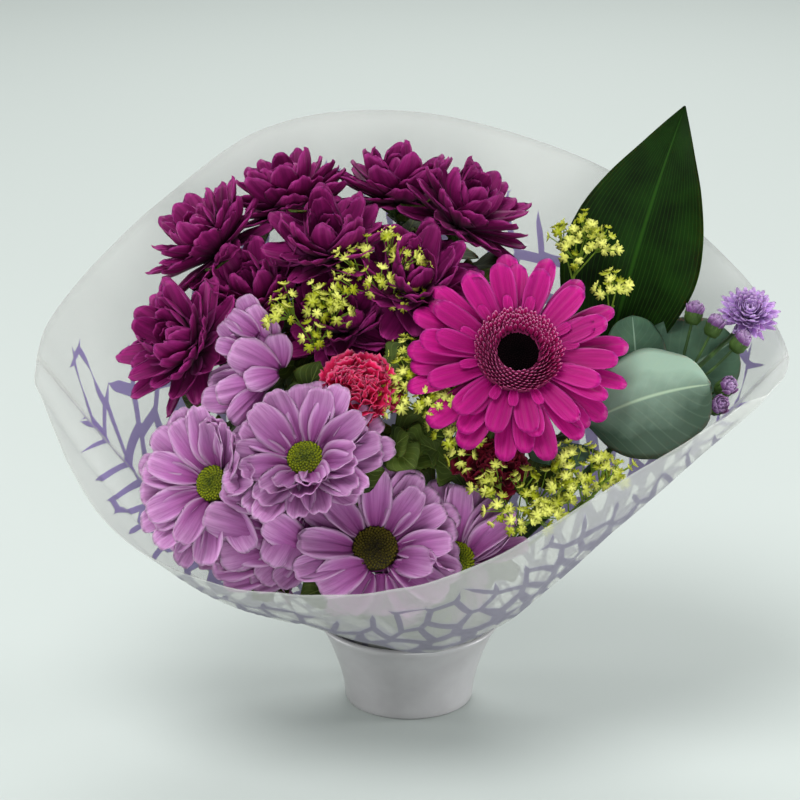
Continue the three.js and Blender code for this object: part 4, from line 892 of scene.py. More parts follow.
def frosted_film():
    """Frosted polypropylene film: milky, half clear, with a violet print on its inner face.

    The print is a loose net whose threads thin out towards the top edge and end there.
    """
    finish, tree, shader = new_finish("polypropylene_film_frosted")
    uv = node(tree, "ShaderNodeUVMap", {"uv_map": "UVMap"})
    axes = node(tree, "ShaderNodeSeparateXYZ", {}, {0: uv})
    share, inner, weld = (node(tree, ATTRIBUTE, {"attribute_name": name}).outputs["Fac"]
                          for name in ("share", "inner", "weld"))
    # Cells of the net are 16 mm wide and grow taller upwards: 12 mm low on the film, 26 mm high at its back
    sway = node(tree, NOISE, {}, {"Vector": uv, "Scale": 22.0, "Detail": 1.0})
    across = node(tree, MATH, TIMES, {0: axes, 1: 1 / 0.016})
    root = node(tree, MATH, {"operation": "SQRT"}, {0: axes.outputs[1]})
    up = node(tree, MATH, TIMES, {0: root, 1: 29.0})
    flat = node(tree, "ShaderNodeCombineXYZ", {}, {0: across, 1: up})
    cells = node(tree, "ShaderNodeVectorMath", TIMES_PLUS, {0: sway.outputs[1], 1: (0.7, 0.7, 0.0), 2: flat})
    net = node(tree, "ShaderNodeTexVoronoi", {"voronoi_dimensions": "2D", "feature": "DISTANCE_TO_EDGE"},
               {"Vector": cells, "Scale": 1.0, "Randomness": 0.8}).outputs["Distance"]
    # How high a place is on the film, ragged, so that the threads don't all end on one line
    ragged = node(tree, NOISE, {}, {"Vector": uv, "Scale": 30.0, "Detail": 1.0})
    risen = node(tree, MATH, TIMES, {0: share, 1: 1 / 0.99})
    height = node(tree, MATH, TIMES_PLUS, {0: ragged, 1: 0.3, 2: risen})
    thinner = node(tree, RANGE, EASED, {0: height, 1: 0.6, 2: 0.92, 3: 1.0, 4: 0.34})
    ended = node(tree, RANGE, EASED, {0: height, 1: 0.99, 2: 1.05, 3: 1.0, 4: 0.0})
    thinning = node(tree, MATH, TIMES, {0: thinner, 1: ended})
    wide = node(tree, RANGE, EASED, {0: share, 1: 0.15, 2: 0.6, 3: 0.12, 4: 0.28})
    width = node(tree, MATH, TIMES, {0: wide, 1: thinning})
    thread = node(tree, MATH, {"operation": "LESS_THAN"}, {0: net, 1: width})
    ink = node(tree, MIX, COLOURS, {0: inner, 6: colour("#83818c"), 7: colour("#8f7cba")})
    tint = node(tree, MIX, COLOURS, {0: thread, 6: colour("#d0d2ce"), 7: ink.outputs[2]})
    # The film is denser in its clouds, along its welds and where ink lies; a thin band at its top edge is
    # denser too, a painted highlight that makes the cut edge show as a pale line
    place = node(tree, "ShaderNodeTexCoord").outputs["Object"]
    cloud = node(tree, NOISE, {}, {"Vector": place, "Scale": 12.0, "Detail": 3.0})
    crinkle = node(tree, NOISE, {}, {"Vector": place, "Scale": 45.0, "Detail": 3.0})
    milk = node(tree, RANGE, {}, {0: cloud, 3: 0.34, 4: 0.46})
    # Painted highlight: the top edge is made more opaque, so the pale film shows a bright line there
    edge = node(tree, RANGE, EASED, {0: share, 1: 0.985, 2: 0.997, 3: 0.0, 4: 0.06})
    welded = node(tree, MATH, TIMES, {0: weld, 1: 0.3})
    seam = node(tree, MATH, TIMES_PLUS, {0: inner, 1: -0.16, 2: welded})
    ink_cover = node(tree, MATH, TIMES_PLUS, {0: inner, 1: 0.06, 2: 0.38})
    inked = node(tree, MATH, TIMES, {0: thread, 1: ink_cover})
    milk_and_edge_highlight = node(tree, MATH, PLUS, {0: milk, 1: edge})
    marked = node(tree, MATH, PLUS, {0: seam, 1: inked})
    whole = node(tree, MATH, PLUS, {0: milk_and_edge_highlight, 1: marked})
    set_inputs(shader, {
        "Base Color": tint.outputs[2], "Roughness": 0.5, "Specular IOR Level": 0.3, "IOR": 1.49,
        "Alpha": node(tree, MATH, {"operation": "MINIMUM"}, {0: whole, 1: 0.97}),
        "Normal": node(tree, BUMP, {}, {"Strength": 0.3, "Distance": 0.0015, "Height": crinkle}),
    })
    return finish


vase_glaze = glaze()
film_frosted = frosted_film()


# Vase

def vase_radius(share):
    return FOOT_RADIUS + (RIM_RADIUS - FOOT_RADIUS) * share ** VASE_FLARE


def vase_mesh():
    """A turned cup with a rounded rim, a small foot ring and a rounded inside corner."""
    outline = [(FOOT_RADIUS - 6, 0.8), (FOOT_RADIUS - 5, 0), (FOOT_RADIUS - 1.8, 0),
               (FOOT_RADIUS - 0.5, 0.35), (vase_radius(0.03), 0.03 * VASE_HEIGHT)]
    outline += [(vase_radius(s / 20), s / 20 * VASE_HEIGHT) for s in range(2, 19)]
    middle = RIM_RADIUS - VASE_WALL / 2 - 0.3
    for step in range(7):
        angle = math.pi * step / 6
        outline.append((middle + VASE_WALL / 2 * math.cos(angle), VASE_HEIGHT - 1.6 + 1.6 * math.sin(angle)))
    outline += [(vase_radius(s / 10) - VASE_WALL, s / 10 * VASE_HEIGHT) for s in (9, 8, 7, 6, 5, 4)]
    outline += [(vase_radius(share) - VASE_WALL - inset, VASE_FLOOR + rise)
                for share, inset, rise in ((0.25, 0, 3), (0.22, 1, 1), (0.2, 3, 0))]
    sides = 112
    points = [(0, 0, outline[0][1])]
    for radius, height in outline:
        points += ring_points(radius, height, sides)
    points.append((0, 0, VASE_FLOOR))
    return new_mesh("vase", points, lathe_faces(len(outline), sides), vase_glaze)


# Film sleeve

def sleeve_top(angle):
    """The height of the film's top edge at an angle in degrees, seen from above."""
    knots = SLEEVE_TOP
    count = len(knots)

    def at(index):
        return knots[index % count][0] + 360 * (index // count), knots[index % count][1]

    index = count - 1
    while index > 0 and knots[index][0] > angle:
        index -= 1
    a, b, c, d = (at(index + step) for step in (-1, 0, 1, 2))
    width = c[0] - b[0]
    slope_b = (c[1] - a[1]) / (c[0] - a[0]) * width
    slope_c = (d[1] - b[1]) / (d[0] - b[0]) * width
    return cubic((angle - b[0]) / width, b[1], slope_b, c[1], slope_c)


def reach(value):
    return math.copysign(abs(value) ** (2 / SLEEVE_CORNERS), value)


def sleeve_point(turn, share):
    """A point of the film: share runs from -1 at the tail over 0 at the neck to 1 at the edge."""
    side = SLEEVE_RIGHT if math.cos(turn) > 0 else SLEEVE_LEFT
    rim = Vector((side * reach(math.cos(turn)), SLEEVE_DEPTH * reach(math.sin(turn))))
    polar = math.atan2(rim.y, rim.x)
    top = sleeve_top(math.degrees(polar) % 360)
    front = max(-math.sin(polar), 0)
    slope = 1.3 - 0.2 * math.cos(polar) + 0.8 * front ** 3
    around = Vector((math.cos(turn), math.sin(turn)))
    neck = Vector(NECK_SHIFT) + around * NECK_RADIUS
    if share < 0:
        flat = neck.lerp(around * TAIL_RADIUS, -share)
        return Vector((flat.x, flat.y, VASE_HEIGHT + (VASE_HEIGHT - TAIL_HEIGHT) * share))
    flat = neck.lerp(rim, share)
    height = VASE_HEIGHT + (top - VASE_HEIGHT) * share ** slope
    for middle, half, most, peak in LIFTED:
        off = (math.degrees(polar) - middle + 180) % 360 - 180
        near = most * math.exp(-(off / half) ** 2)
        height += near * share / peak * math.exp(1 - share / peak) * (1 - share)
    return Vector((flat.x, flat.y, height))


def crease_rise(turn, share):
    """How far the film stands out in its creases and its slow waves."""
    angle = math.degrees(turn) % 360
    rise = 0
    for crease in CREASES:
        spot = mix(crease["low"], crease["high"], max(share, 0))
        off = (angle - spot + 180) % 360 - 180
        begun = smooth(crease["start"] - 0.15, crease["start"], share)
        ended = smooth(crease["end"], crease["end"] + 0.1, share)
        rise += crease["rise"] * math.exp(-abs(off / crease["width"]) ** 1.4) * (begun * (1 - ended))
    wave = noise.noise(Vector((2.4 * math.cos(turn), 2.4 * math.sin(turn), 1.5 * share)))
    ripple = noise.noise(Vector((9 * math.cos(turn), 9 * math.sin(turn), 2.0 * share + 5)))
    return (rise + (1.6 + 1.6 * wave + 0.8 * ripple) * smooth(0, 0.5, share)) * smooth(0.02, 0.3, share)


def sleeve_mesh():
    """The film as a closed wall, with its flat measures and what its finish needs to know of each point."""
    sides, tail_rows, wall_rows = 240, 4, 56
    shares = [-1 + i / tail_rows for i in range(tail_rows)]
    shares += [(i / wall_rows) ** 0.9 for i in range(wall_rows + 1)]
    base = [[sleeve_point(2 * math.pi * side / sides, share) for share in shares] for side in range(sides)]
    outside, inside = [], []
    for side in range(sides):
        line, out_line, in_line = base[side], [], []
        for row, point in enumerate(line):
            along = line[min(row + 1, len(line) - 1)] - line[max(row - 1, 0)]
            across = base[(side + 1) % sides][row] - base[side - 1][row]
            outward = across.cross(along).normalized()
            rise = crease_rise(2 * math.pi * side / sides, shares[row])
            out_line.append(point + outward * rise)
            in_line.append(point + outward * (rise - FILM))
        outside.append(out_line)
        inside.append(in_line)
    rows = len(shares)
    points, pairs = [], []
    # Flat measures of the film: across from the middle of its front or back panel, and up from its neck
    for side in range(sides):
        quarter = sides // 4
        middle = 3 * quarter if side > sides // 2 or side == 0 else quarter
        for row in range(rows):
            step = 1 if side > middle else -1
            across = step * sum((base[(i + step) % sides][row] - base[i % sides][row]).length
                                for i in range(middle, side if side else sides, step))
            up = sum((base[side][i + 1] - base[side][i]).length for i in range(tail_rows, row))
            pairs.append((across * MM, up * MM))
            points.append(outside[side][row])
    for side in range(sides):
        for row in range(rows):
            points.append(inside[side][row])
            pairs.append(pairs[side * rows + row])
    under = sides * rows
    faces = []
    # Two welds join the front and the back panel, at the left and the right corner
    off_weld = [min(side % (sides // 2), -side % (sides // 2)) for side in range(sides)]
    weld = [math.exp(-(off / 0.9) ** 2) for off in off_weld]
    for side in range(sides):
        here, after = side * rows, (side + 1) % sides * rows
        for row in range(rows - 1):
            quad = (here + row, after + row, after + row + 1, here + row + 1)
            faces += [quad, tuple(under + quad[i] for i in (0, 3, 2, 1))]
        top = rows - 1
        faces.append((here + top, after + top, under + after + top, under + here + top))
        faces.append((here, under + here, under + after, after))
    mesh = new_mesh("sleeve", points, faces, film_frosted, pairs)
    for name, values in (
        ("share", [shares[i % rows] for i in range(2 * under)]),
        ("inner", [float(i >= under) for i in range(2 * under)]),
        ("weld", [weld[i % under // rows] for i in range(2 * under)]),
    ):
        mesh.attributes.new(name, "FLOAT", "POINT").data.foreach_set("value", values)
    return mesh


# Room between the pieces

# How far leaves keep off the blooms, petals off each other's blooms, leaves off the folded petals, and
# leaves and petals off the film
LEAF_ROOM = 1.0
PETAL_ROOM = 1.2
FOLDED_ROOM = 9
FILM_ROOM = 2.5


def surface_tree(meshes):
    """The surfaces of some meshes, to keep leaves and petals off them."""
    points, faces = [], []
    for mesh in meshes:
        start = len(points)
        points += [v.co / MM for v in mesh.vertices]
        faces += [[start + i for i in face.vertices] for face in mesh.polygons]
    return BVHTree.FromPolygons(points, faces)


SLEEVE = sleeve_mesh()
CLOSE_NODES = [n for n in frame["nodes"] if "stem" not in n and not n.startswith("filler")]
NEIGHBOURS = surface_tree([frame["nodes"][n].data for n in CLOSE_NODES])
FACE_OWNERS = [n for n in CLOSE_NODES for _ in frame["nodes"][n].data.polygons]
FILM_WALL = surface_tree([SLEEVE])
RIM_REACH = {}
for fine_turn in range(3600):
    rim = sleeve_point(math.radians(fine_turn / 10), 1)
    RIM_REACH[round(math.degrees(math.atan2(rim.y, rim.x))) % 360] = math.hypot(rim.x, rim.y)
FOLDED_MIDDLES = [Vector(root).lerp(Vector(tip), share) for petals in FOLDED.values()
                  for root, tip, _, _ in petals for share in (0.3, 0.6, 0.9)]


def inside_film(point, gap):
    """Whether a point keeps a gap to the film's wall, measured outwards from the axis."""
    axis = Vector((NECK_SHIFT[0], NECK_SHIFT[1], min(point.z, 100)))
    ray = point - axis
    return FILM_WALL.ray_cast(axis, ray.normalized(), ray.length + gap)[0] is None


def within_rim(point, gap):
    """Whether a point that may stand above the film is still inside its edge, seen from above."""
    turned = round(math.degrees(math.atan2(point.y, point.x))) % 360
    return math.hypot(point.x, point.y) < RIM_REACH[turned] - gap


def has_room(points):
    """Whether small pieces at these points lie inside the film and touch no bloom."""
    if any((point - middle).length < FOLDED_ROOM for point in points for middle in FOLDED_MIDDLES):
        return False
    return all(point.z > VASE_HEIGHT + 4 and NEIGHBOURS.find_nearest(point, LEAF_ROOM)[0] is None
               and inside_film(point, FILM_ROOM) for point in points)


def clear_of_others(points, own):
    """Whether the points of a petal keep off every other bloom."""
    return all(FACE_OWNERS[hit[2]].startswith(own)
               for point in points for hit in NEIGHBOURS.find_nearest_range(point, PETAL_ROOM))


# Petals

# Looks of the petals: their width along them as a share of the solid's, and what petal_mesh does with them
LOOKS = {
    "lilac": {
        "outline": [(0, 0.36), (0.25, 0.82), (0.55, 1.1), (0.85, 1.18), (1, 1.05)], "cup": 0.42, "thick": 0.8,
        "groove": 0.65, "grooves": 2.5, "end": 0.26, "sharp": 0.46, "notch": 0.03, "wave": 0.9, "hook": 10,
        "columns": 12,
    },
    "purple": {
        "outline": [(0, 0.5), (0.25, 1.15), (0.55, 1.68), (0.8, 1.62), (1, 1.25)], "cup": 0.2, "thick": 0.7,
        "groove": 0.55, "grooves": 2.5, "end": 0.42, "sharp": 0.52, "wave": 0.6, "hook": 12,
    },
    "gerbera": {
        "outline": [(0, 0.42), (0.3, 0.72), (0.6, 1.0), (0.82, 1.1), (1, 1.02)], "cup": 0.08, "thick": 1.1,
        "groove": 0.3, "grooves": 2, "end": 0.17, "wave": 0.3, "hook": 2, "twist": 5,
    },
    "aster": {
        "outline": [(0, 0.6), (0.4, 1.0), (0.8, 0.95), (1, 0.6)], "cup": 0.3, "thick": 0.3, "end": 0.2,
        "hook": 14, "rows": 7, "columns": 4,
    },
    "bract": {
        "outline": [(0, 0.9), (0.4, 1.0), (0.8, 0.6), (1, 0.25)], "cup": 0.3, "thick": 0.6,
        "rows": 6, "columns": 6,
    },
}
VARIANTS = 4


def cad_tree(name):
    """The corners of a CAD node, to find how a petal was settled there."""
    mesh = frame["nodes"][name].data
    tree = kdtree.KDTree(len(mesh.vertices))
    for vertex in mesh.vertices:
        tree.insert(vertex.co, vertex.index)
    tree.balance()
    return tree


def arc_point(ring, length, lift, share=1):
    """How far out and how high a point on the arched middle line of a petal stands."""
    curl = math.radians(ring["curl"])
    turn = lift + curl * share
    across = length * (math.sin(turn) - math.sin(lift)) / curl
    return across, ring["base"] - length * (math.cos(turn) - math.cos(lift)) / curl


def settled(tree, spot, angle, root, ring, tilt):
    """The lift and length at which the petal stands in the CAD, or nothing where it was left out."""
    for share in LENGTH_STEPS:
        for step in LIFT_STEPS:
            across, height = arc_point(ring, ring["length"] * share, math.radians(tilt + step))
            for inset in (0, ROOT_INSET):
                tip = point_at(spot, angle, root - inset + across, height) * MM
                if tree.find(tip)[2] < 0.25 * MM:
                    return tilt + step, share
    return None


def petal_points(spot, angle, core, ring, lift):
    """Points on the middle and the two edges of a petal."""
    half = ring["width"] / 2
    points = []
    for share in (0.4, 0.7, 1):
        across, height = arc_point(ring, ring["length"], lift, share)
        points += [point_at(spot, angle, core + across, height, aside) for aside in (-half, 0, half)]
    return points


def hung(spot, angle, core, ring, found):
    """A petal that the film held upright hangs down inside it where there is room."""
    if not found or found[0] < 50 or ring["lift"] > 40:
        return found
    if (point_at(spot, angle, 1, 0) - spot[0]).z > -0.3:
        return found
    for lift in range(-18, -84, -6):
        if all(inside_film(point, 6) for point in petal_points(spot, angle, core, ring, math.radians(lift))):
            return lift, 1
    return found


def bloom_petals(name, number):
    """A bloom's frame and core, and for each ring the angle of each petal and how it stands in the CAD."""
    kind, place, facing, turn = BLOOMS[name]
    spot = frame_at(place, facing)
    core = BIG_EYE.get(name, (kind["core"], 0))[0]
    tree = cad_tree(name)
    rings = []
    for level, ring in enumerate(kind["rings"]):
        seed = number + 7 * level
        petals = []
        for index in range(ring["count"]):
            jitter = PETAL_JITTER * (frac_noise(seed, index) - 0.5)
            angle = math.radians(turn + level * 180 / ring["count"] + 360 * (index + jitter) / ring["count"])
            tilt = ring["lift"] + TILT_JITTER * (frac_noise(seed, index + 50) - 0.5)
            found = settled(tree, spot, angle, core, ring, tilt)
            petals.append((angle, hung(spot, angle, core, ring, found)))
        rings.append(petals)
    return spot, core, rings


def bloom_spots(name, number, layers):
    """Places for every petal of a bloom: those of the CAD, and layers of finer ones between them.

    A layer is (ring that it follows, count, lift above that ring, length, width).
    """
    spot, core, rings = bloom_petals(name, number)
    kind = BLOOMS[name][0]
    family = name.split("_")[0]
    draw = random.Random(number)
    lean = LEAN.get(name, 0)
    spots = []

    def leaned(angle, lift):
        """The lift with what the bloom's own pose adds to it."""
        toward = (point_at(spot, angle, 1, 0) - spot[0]).dot(NEAR_SIDE)
        if lift > -10:
            lift += lean * max(toward, 0) ** 0.7 + RAISE.get(family, 0)
            lift += FAR_RISE.get(family, 0) * max(-toward, 0)
        return min(lift, STEEPEST)

    def pressed(angle):
        low, high, by = PRESSED.get(name, (0, 0, 0))
        return by if low < math.degrees(angle) % 360 < high else 0

    def edges(level, angle, lift, length):
        ring = dict(kind["rings"][level])
        ring["length"] *= length
        return petal_points(spot, angle, core - ROOT_DEPTH, ring, math.radians(lift))

    def lay(level, angle, lift, length, width=1.0, sink=0.0):
        """Lays a petal, steeper where it would cross the film."""
        root = point_at(spot, angle, core - ROOT_DEPTH, kind["rings"][level]["base"] - sink)
        while lift < 70 and not all(inside_film(p, FILM_ROOM) for p in edges(level, angle, lift, length)):
            lift += 6
        roll = math.radians(draw.uniform(-14, 14))
        stretch = (length * draw.uniform(0.93, 1.05), width * draw.uniform(0.9, 1.08), length)
        spots.append((root, turn_at(spot, angle, math.radians(lift), roll), stretch,
                      level * VARIANTS + draw.randrange(VARIANTS)))

    def folded_over(angle):
        first, sweep = OPEN_SIDE.get(name, (0, 0))
        return (math.degrees(angle) - first) % 360 < sweep

    outer = kind["rings"][0]
    for root, tip, face, width in FOLDED.get(name, []):
        root, along = Vector(root), Vector(tip) - Vector(root)
        across = Vector(face).cross(along).normalized()
        turned = Matrix((along.normalized(), across, along.cross(across).normalized())).transposed()
        size = along.length / outer["length"]
        stretch = (size, width / outer["width"], size)
        spots.append((root, turned.to_euler(), stretch, draw.randrange(VARIANTS)))
    for level, petals in enumerate(rings):
        for angle, found in petals:
            if found and not folded_over(angle):
                length = max(found[1], SHORTEST_SHARE) * (1 + ROOT_DEPTH / kind["rings"][level]["length"])
                whole = leaned(angle, found[0])
                choices = [mix(whole, found[0], share) for share in (0, 0.5, 1)]
                lift = next((c for c in choices if clear_of_others(edges(level, angle, c, length), name)),
                            found[0])
                lay(level, angle, found[0] - pressed(angle) if pressed(angle) else lift, length)
    for number_of_layer, (level, count, rise, length, width) in enumerate(layers):
        flattest = kind["rings"][level]["lift"]
        for index in range(count):
            angle = 2 * math.pi * (index + draw.uniform(-0.15, 0.15) + 0.3 * number_of_layer) / count
            near_by = min((p for p in rings[level] if p[1]),
                          key=lambda p: abs((p[0] - angle + math.pi) % (2 * math.pi) - math.pi))
            # It follows the petal beside it where that one was settled far off its ring's own lift
            shift = near_by[1][0] - flattest
            lift = flattest + rise + draw.uniform(-5, 5)
            if shift < -14:
                lift += shift
            elif shift > 14:
                lift = max(lift, flattest + shift)
            size = length * max(near_by[1][1], SHORTEST_SHARE)
            if folded_over(angle) or pressed(angle):
                continue
            whole = leaned(angle, lift)
            choices = [min(whole + step, STEEPEST) for step in (0, 9, 18, -9, 28)]
            free = [c for c in choices if clear_of_others(edges(level, angle, c, size), name)]
            if free:
                lay(level, angle, free[0], size, width, 0.4)
    return spot, core, spots, draw


def petal_set(look, rings):
    """Petals of each ring, in a few variants."""
    return body_set(f"{look}_petals", [
        petal_mesh(f"{look}_{level}_{variant}", ring["length"], ring["width"], ring["curl"],
                   10 * level + variant, LOOKS[look])
        for level, ring in enumerate(rings) for variant in range(VARIANTS)])


# Petals that the solids lack: the inmost of a purple bloom, and short rays round the gerbera's florets
INNER_PURPLE = {"length": 20, "width": 9, "curl": 14}
FRINGE = {"length": 13, "width": 4.6, "curl": -8}
FRINGE_COUNT = 11
PETAL_SETS = {look: petal_set(look, rings) for look, rings in (
    ("lilac", LILAC["rings"]), ("purple", [*PURPLE["rings"], INNER_PURPLE]),
    ("gerbera", [*GERBERA["rings"], FRINGE]), ("aster", ASTER["rings"]),
    ("bract", [{"length": 9, "width": 4, "curl": 20}]),
)}


def core_mesh(spot, radius, low, high, finish, sides=24):
    """The rounded seat that a bloom's petals grow out of."""
    outline = [(0.7 * radius, low), (radius, mix(low, high, 0.3)), (radius, mix(low, high, 0.8)),
               (0.7 * radius, high)]
    return turned_body("seat", spot, outline, sides, finish, (0.5, 0.0), 0.4)


# Eyes

def small_bud(name, radius, height, sides=6):
    """A closed floret: a blunt bud that points along +Z."""
    points, faces = [], []
    for share, level in ((0.75, -0.4), (1.0, 0.25), (0.8, 0.75)):
        points += ring_points(share * radius, level * height, sides)
    points += [(0, 0, height), (0, 0, -0.4 * height)]
    tip, foot = len(points) - 2, len(points) - 1
    for side in range(sides):
        after = (side + 1) % sides
        for row in (0, sides):
            faces.append((row + side, row + after, row + sides + after, row + sides + side))
        faces.append((2 * sides + side, 2 * sides + after, tip))
        faces.append((foot, after, side))
    return new_mesh(name, points, faces)


def strap_floret(name, length, width):
    """A ring floret: a short cupped strap that leans out of +Z towards +X."""
    mesh = petal_mesh(name, length, width, 40, 3, {
        "outline": [(0, 0.5), (0.5, 1.0), (1, 0.8)], "cup": 0.5, "end": 0.25, "thick": 0.4, "twist": 14,
        "rows": 4, "columns": 4,
    })
    mesh.transform(Matrix.Rotation(math.radians(-74), 4, "Y"))
    return mesh


def disc_mesh(name, spot, floret, finish, values, base_radius, low, rise):
    """A dome that carries florets, turned to face the way the bloom does."""
    holder = bpy.data.objects.new(f"{name}_floret", floret)
    sides = 32
    outline = [(share, rise * math.sqrt(1 - DOME_DROP * share * share)) for share in (0.35, 0.65, 0.9, 1.0)]
    outline.append((1.0, 0))
    points, faces = [(0, 0, rise)], []
    for share, height in outline:
        points += ring_points(base_radius * share, height, sides)
    points.append((0, 0, 0))
    rows = len(outline)
    for side in range(sides):
        after = (side + 1) % sides
        faces.append((0, 1 + side, 1 + after))
        for row in range(rows - 1):
            here = 1 + row * sides
            faces.append((here + side, here + sides + side, here + sides + after, here + after))
        faces.append((len(points) - 1, 1 + (rows - 1) * sides + after, 1 + (rows - 1) * sides + side))
    seat = new_mesh(name, points, faces, finish, None, 0.2)
    mesh = grown(DISC_TREE, seat, {**values, "Floret": holder, "Finish": finish})
    place, across, upward, normal = spot
    turned = Matrix((across, upward, normal)).transposed().to_4x4()
    mesh.transform(Matrix.Translation((place + normal * low) * MM) @ turned)
    bpy.data.objects.remove(holder)
    return mesh


# Leaves

ROUND_LEAF = [(0, 0.06), (0.12, 0.56), (0.34, 0.96), (0.62, 1.0), (0.86, 0.7), (0.95, 0.42), (1, 0.02)]
POINTED_LEAF = [(0, 0.05), (0.12, 0.4), (0.27, 0.8), (0.42, 1), (0.57, 0.93), (0.72, 0.7), (0.86, 0.36),
                (1, 0.01)]
LOBED_LEAF = [(0, 0.08), (0.16, 0.6), (0.3, 0.3), (0.46, 1), (0.6, 0.5), (0.78, 0.88), (0.9, 0.55), (1, 0.02)]


def leaf_mesh(name, shape, outline, finish, rows, columns, thick, wave, ribs, ruffle=0.0, fold=0.2):
    """A leaf from its root to its tip, arched along it, folded at its rib and waved at its edge."""
    root, tip = Vector(shape["root"]), Vector(shape["tip"])
    along = tip - root
    side = along.cross(Vector(shape["facing"])).normalized()
    rise = side.cross(along).normalized()

    def place(share, off):
        half = max(curve_through(outline, share), 0.01) * shape["width"] / 2
        centre = root + along * share + rise * shape["arch"] * 4 * share * (1 - share)
        lift = fold * half * abs(off) ** 1.3 + wave * math.sin(share * 17 + 2 * off) * abs(off) ** 2
        lift += ruffle * math.sin(share * 31 + 4 * off) * abs(off)
        lift -= ribs * math.exp(-(off / 0.08) ** 2)
        spot = centre + side * half * off + rise * lift
        return spot, spot - rise * thick * (1 - off ** 4)

    return thin_shell(name, rows, columns, place, finish)


# Stem routes

def spread(height):
    """How far stems stand from the axis at a height: they cross at a waist and spread above it."""
    return math.hypot(max(height - SPREAD_START, 0), SPREAD_WAIST)


def stem_point(trunk, end, fork, height):
    """A point of a branch, which follows its trunk up to the fork and then turns to its end."""
    share = smooth(fork, end[2], height)
    width = spread(end[2])
    x, y = mix(trunk[0], end[0] / width, share), mix(trunk[1], end[1] / width, share)
    return Vector((x * spread(height), y * spread(height), height))


def stem_route(trunk, end, fork, low, count=12):
    """Points along a branch from a height up to its end; from the foot it starts with an upright stretch."""
    from_foot = low == STEM_FOOT
    points = [stem_point(trunk, end, fork, low)] if from_foot else []
    start = low + UPRIGHT_STRETCH if from_foot else low
    return points + [stem_point(trunk, end, fork, mix(start, end[2], i / count)) for i in range(count + 1)]


def bloom_frame(name):
    if name in CARNATIONS:
        return frame_at(CARNATIONS[name]["place"], CARNATIONS[name]["facing"])
    return frame_at(BLOOMS[name][1], BLOOMS[name][2])


def stem_end(name):
    """Where a stem stops bending, some way under its bloom, or where the aster's buds branch off."""
    if name == "aster":
        return Vector(ASTER_FORK)
    place, _, _, normal = bloom_frame(name)
    return place - normal * STEM_LENGTH_BELOW_BLOOM


def calyx_radius(name):
    if name == "aster":
        return 3
    if name in CARNATIONS:
        return 6
    return BIG_EYE.get(name, (BLOOMS[name][0]["core"], 0))[0] * 0.75 + 1.5


def calyx_meshes(name, seed):
    """The green cup under a bloom with its overlapping bracts."""
    spot = bloom_frame(name)
    radius = calyx_radius(name)
    low = CALYX_TOP - CALYX_DEPTH
    outline = [(BRANCH_RADIUS, low), (radius * 0.55, mix(low, CALYX_TOP, 0.35)),
               (radius * 0.9, mix(low, CALYX_TOP, 0.75)), (radius, CALYX_TOP)]
    cup = turned_body("calyx", spot, outline, 20, bract_green, None, 0.5)
    spots = []
    for ring, (count, start, lift) in enumerate(((11, 0.25, 38), (11, 0.6, 24))):
        for index in range(count):
            angle = 2 * math.pi * (index + 0.5 * ring) / count
            width = radius * (0.5 if ring == 0 else 0.86)
            root = point_at(spot, angle, width, mix(low, CALYX_TOP, start))
            size = 0.55 + 0.03 * radius
            spots.append((root, turn_at(spot, angle, math.radians(lift)), (size, size, size), index % 3))
    return [cup, set_on_points(spots, PETAL_SETS["bract"], bract_green, seed)]


def stem_meshes(name, seed):
    """A stem with its branches, calyces and leaves, and on the aster's stem its buds."""
    trunk, radius, carried = STEMS[name]
    ends = [stem_end(flower) for flower in carried]
    lowest = min(end.z for end in ends)
    fork = mix(VASE_HEIGHT, lowest, FORK)
    lines = []
    meshes = []
    alone = len(carried) == 1
    for flower, end in zip(carried, ends):
        place, _, _, normal = bloom_frame(flower)
        route = stem_route(trunk, end, fork, STEM_FOOT if alone else fork - 5)
        route.append(place + normal * (CALYX_TOP - 2))
        lines.append((route, radius if alone else BRANCH_RADIUS, radius * 0.85 if alone else BRANCH_RADIUS))
        meshes += calyx_meshes(flower, seed)
    if not alone:
        heights = [STEM_FOOT, STEM_FOOT + UPRIGHT_STRETCH]
        heights += [mix(STEM_FOOT + 14, fork, i / 8) for i in range(9)]
        lines.append(([stem_point(trunk, ends[0], fork, z) for z in heights], radius, radius * 0.9))
    for number, spot in enumerate([s for s in LEAF_SPOTS if s["stem"] == name]):
        height = mix(VASE_HEIGHT, ends[0].z, spot["root"])
        foot = stem_point(trunk, ends[0], fork, height)
        tip = Vector(spot["tip"])
        start = foot.lerp(tip, 0.35)
        shape = {**spot, "root": start, "arch": 3}
        lines.append(([foot, foot.lerp(start, 0.5), start, start.lerp(tip, 0.12)], 0.8, 0.5))
        meshes.append(leaf_mesh(f"{name}_leaf_{number}", shape, LOBED_LEAF, blade_lobed, 30, 12,
                                0.5, 0.5, 0.2, 0.5))
    if name == "aster_stem":
        fork_point = Vector(ASTER_FORK)
        for number, place in enumerate(ASTER_BUDS):
            bud = Vector(place)
            middle = fork_point.lerp(bud, 0.5) + Vector((0, -2, -3))
            lines.append(([fork_point, middle, bud], 0.8, 0.7))
            meshes += bud_meshes(bud, fork_point, number)
    places = []
    for flower, end in zip(carried, ends):
        spot = bloom_frame(flower)
        route = stem_route(trunk, end, fork, fork, 24)
        for index in range(0 if flower == "aster" else LEAVES_PER_STEM):
            foot = route[-1 - int(index * 1.5)] if index else spot[0] + spot[3] * -13
            angle = SPIRAL_TURN * index + seed
            way = point_at(spot, angle, 1, 0.35 + 0.05 * (index % 3)) - spot[0]
            places.append((foot, way, spot[3], 0.8 + 0.3 * frac_noise(seed, index)))
    spots, stalks = free_leaves(places, seed)
    if spots:
        meshes.append(set_on_points(spots, LEAF_SET, blade_lobed, seed))
    return [tubes(lines + stalks, stem_green), *meshes]


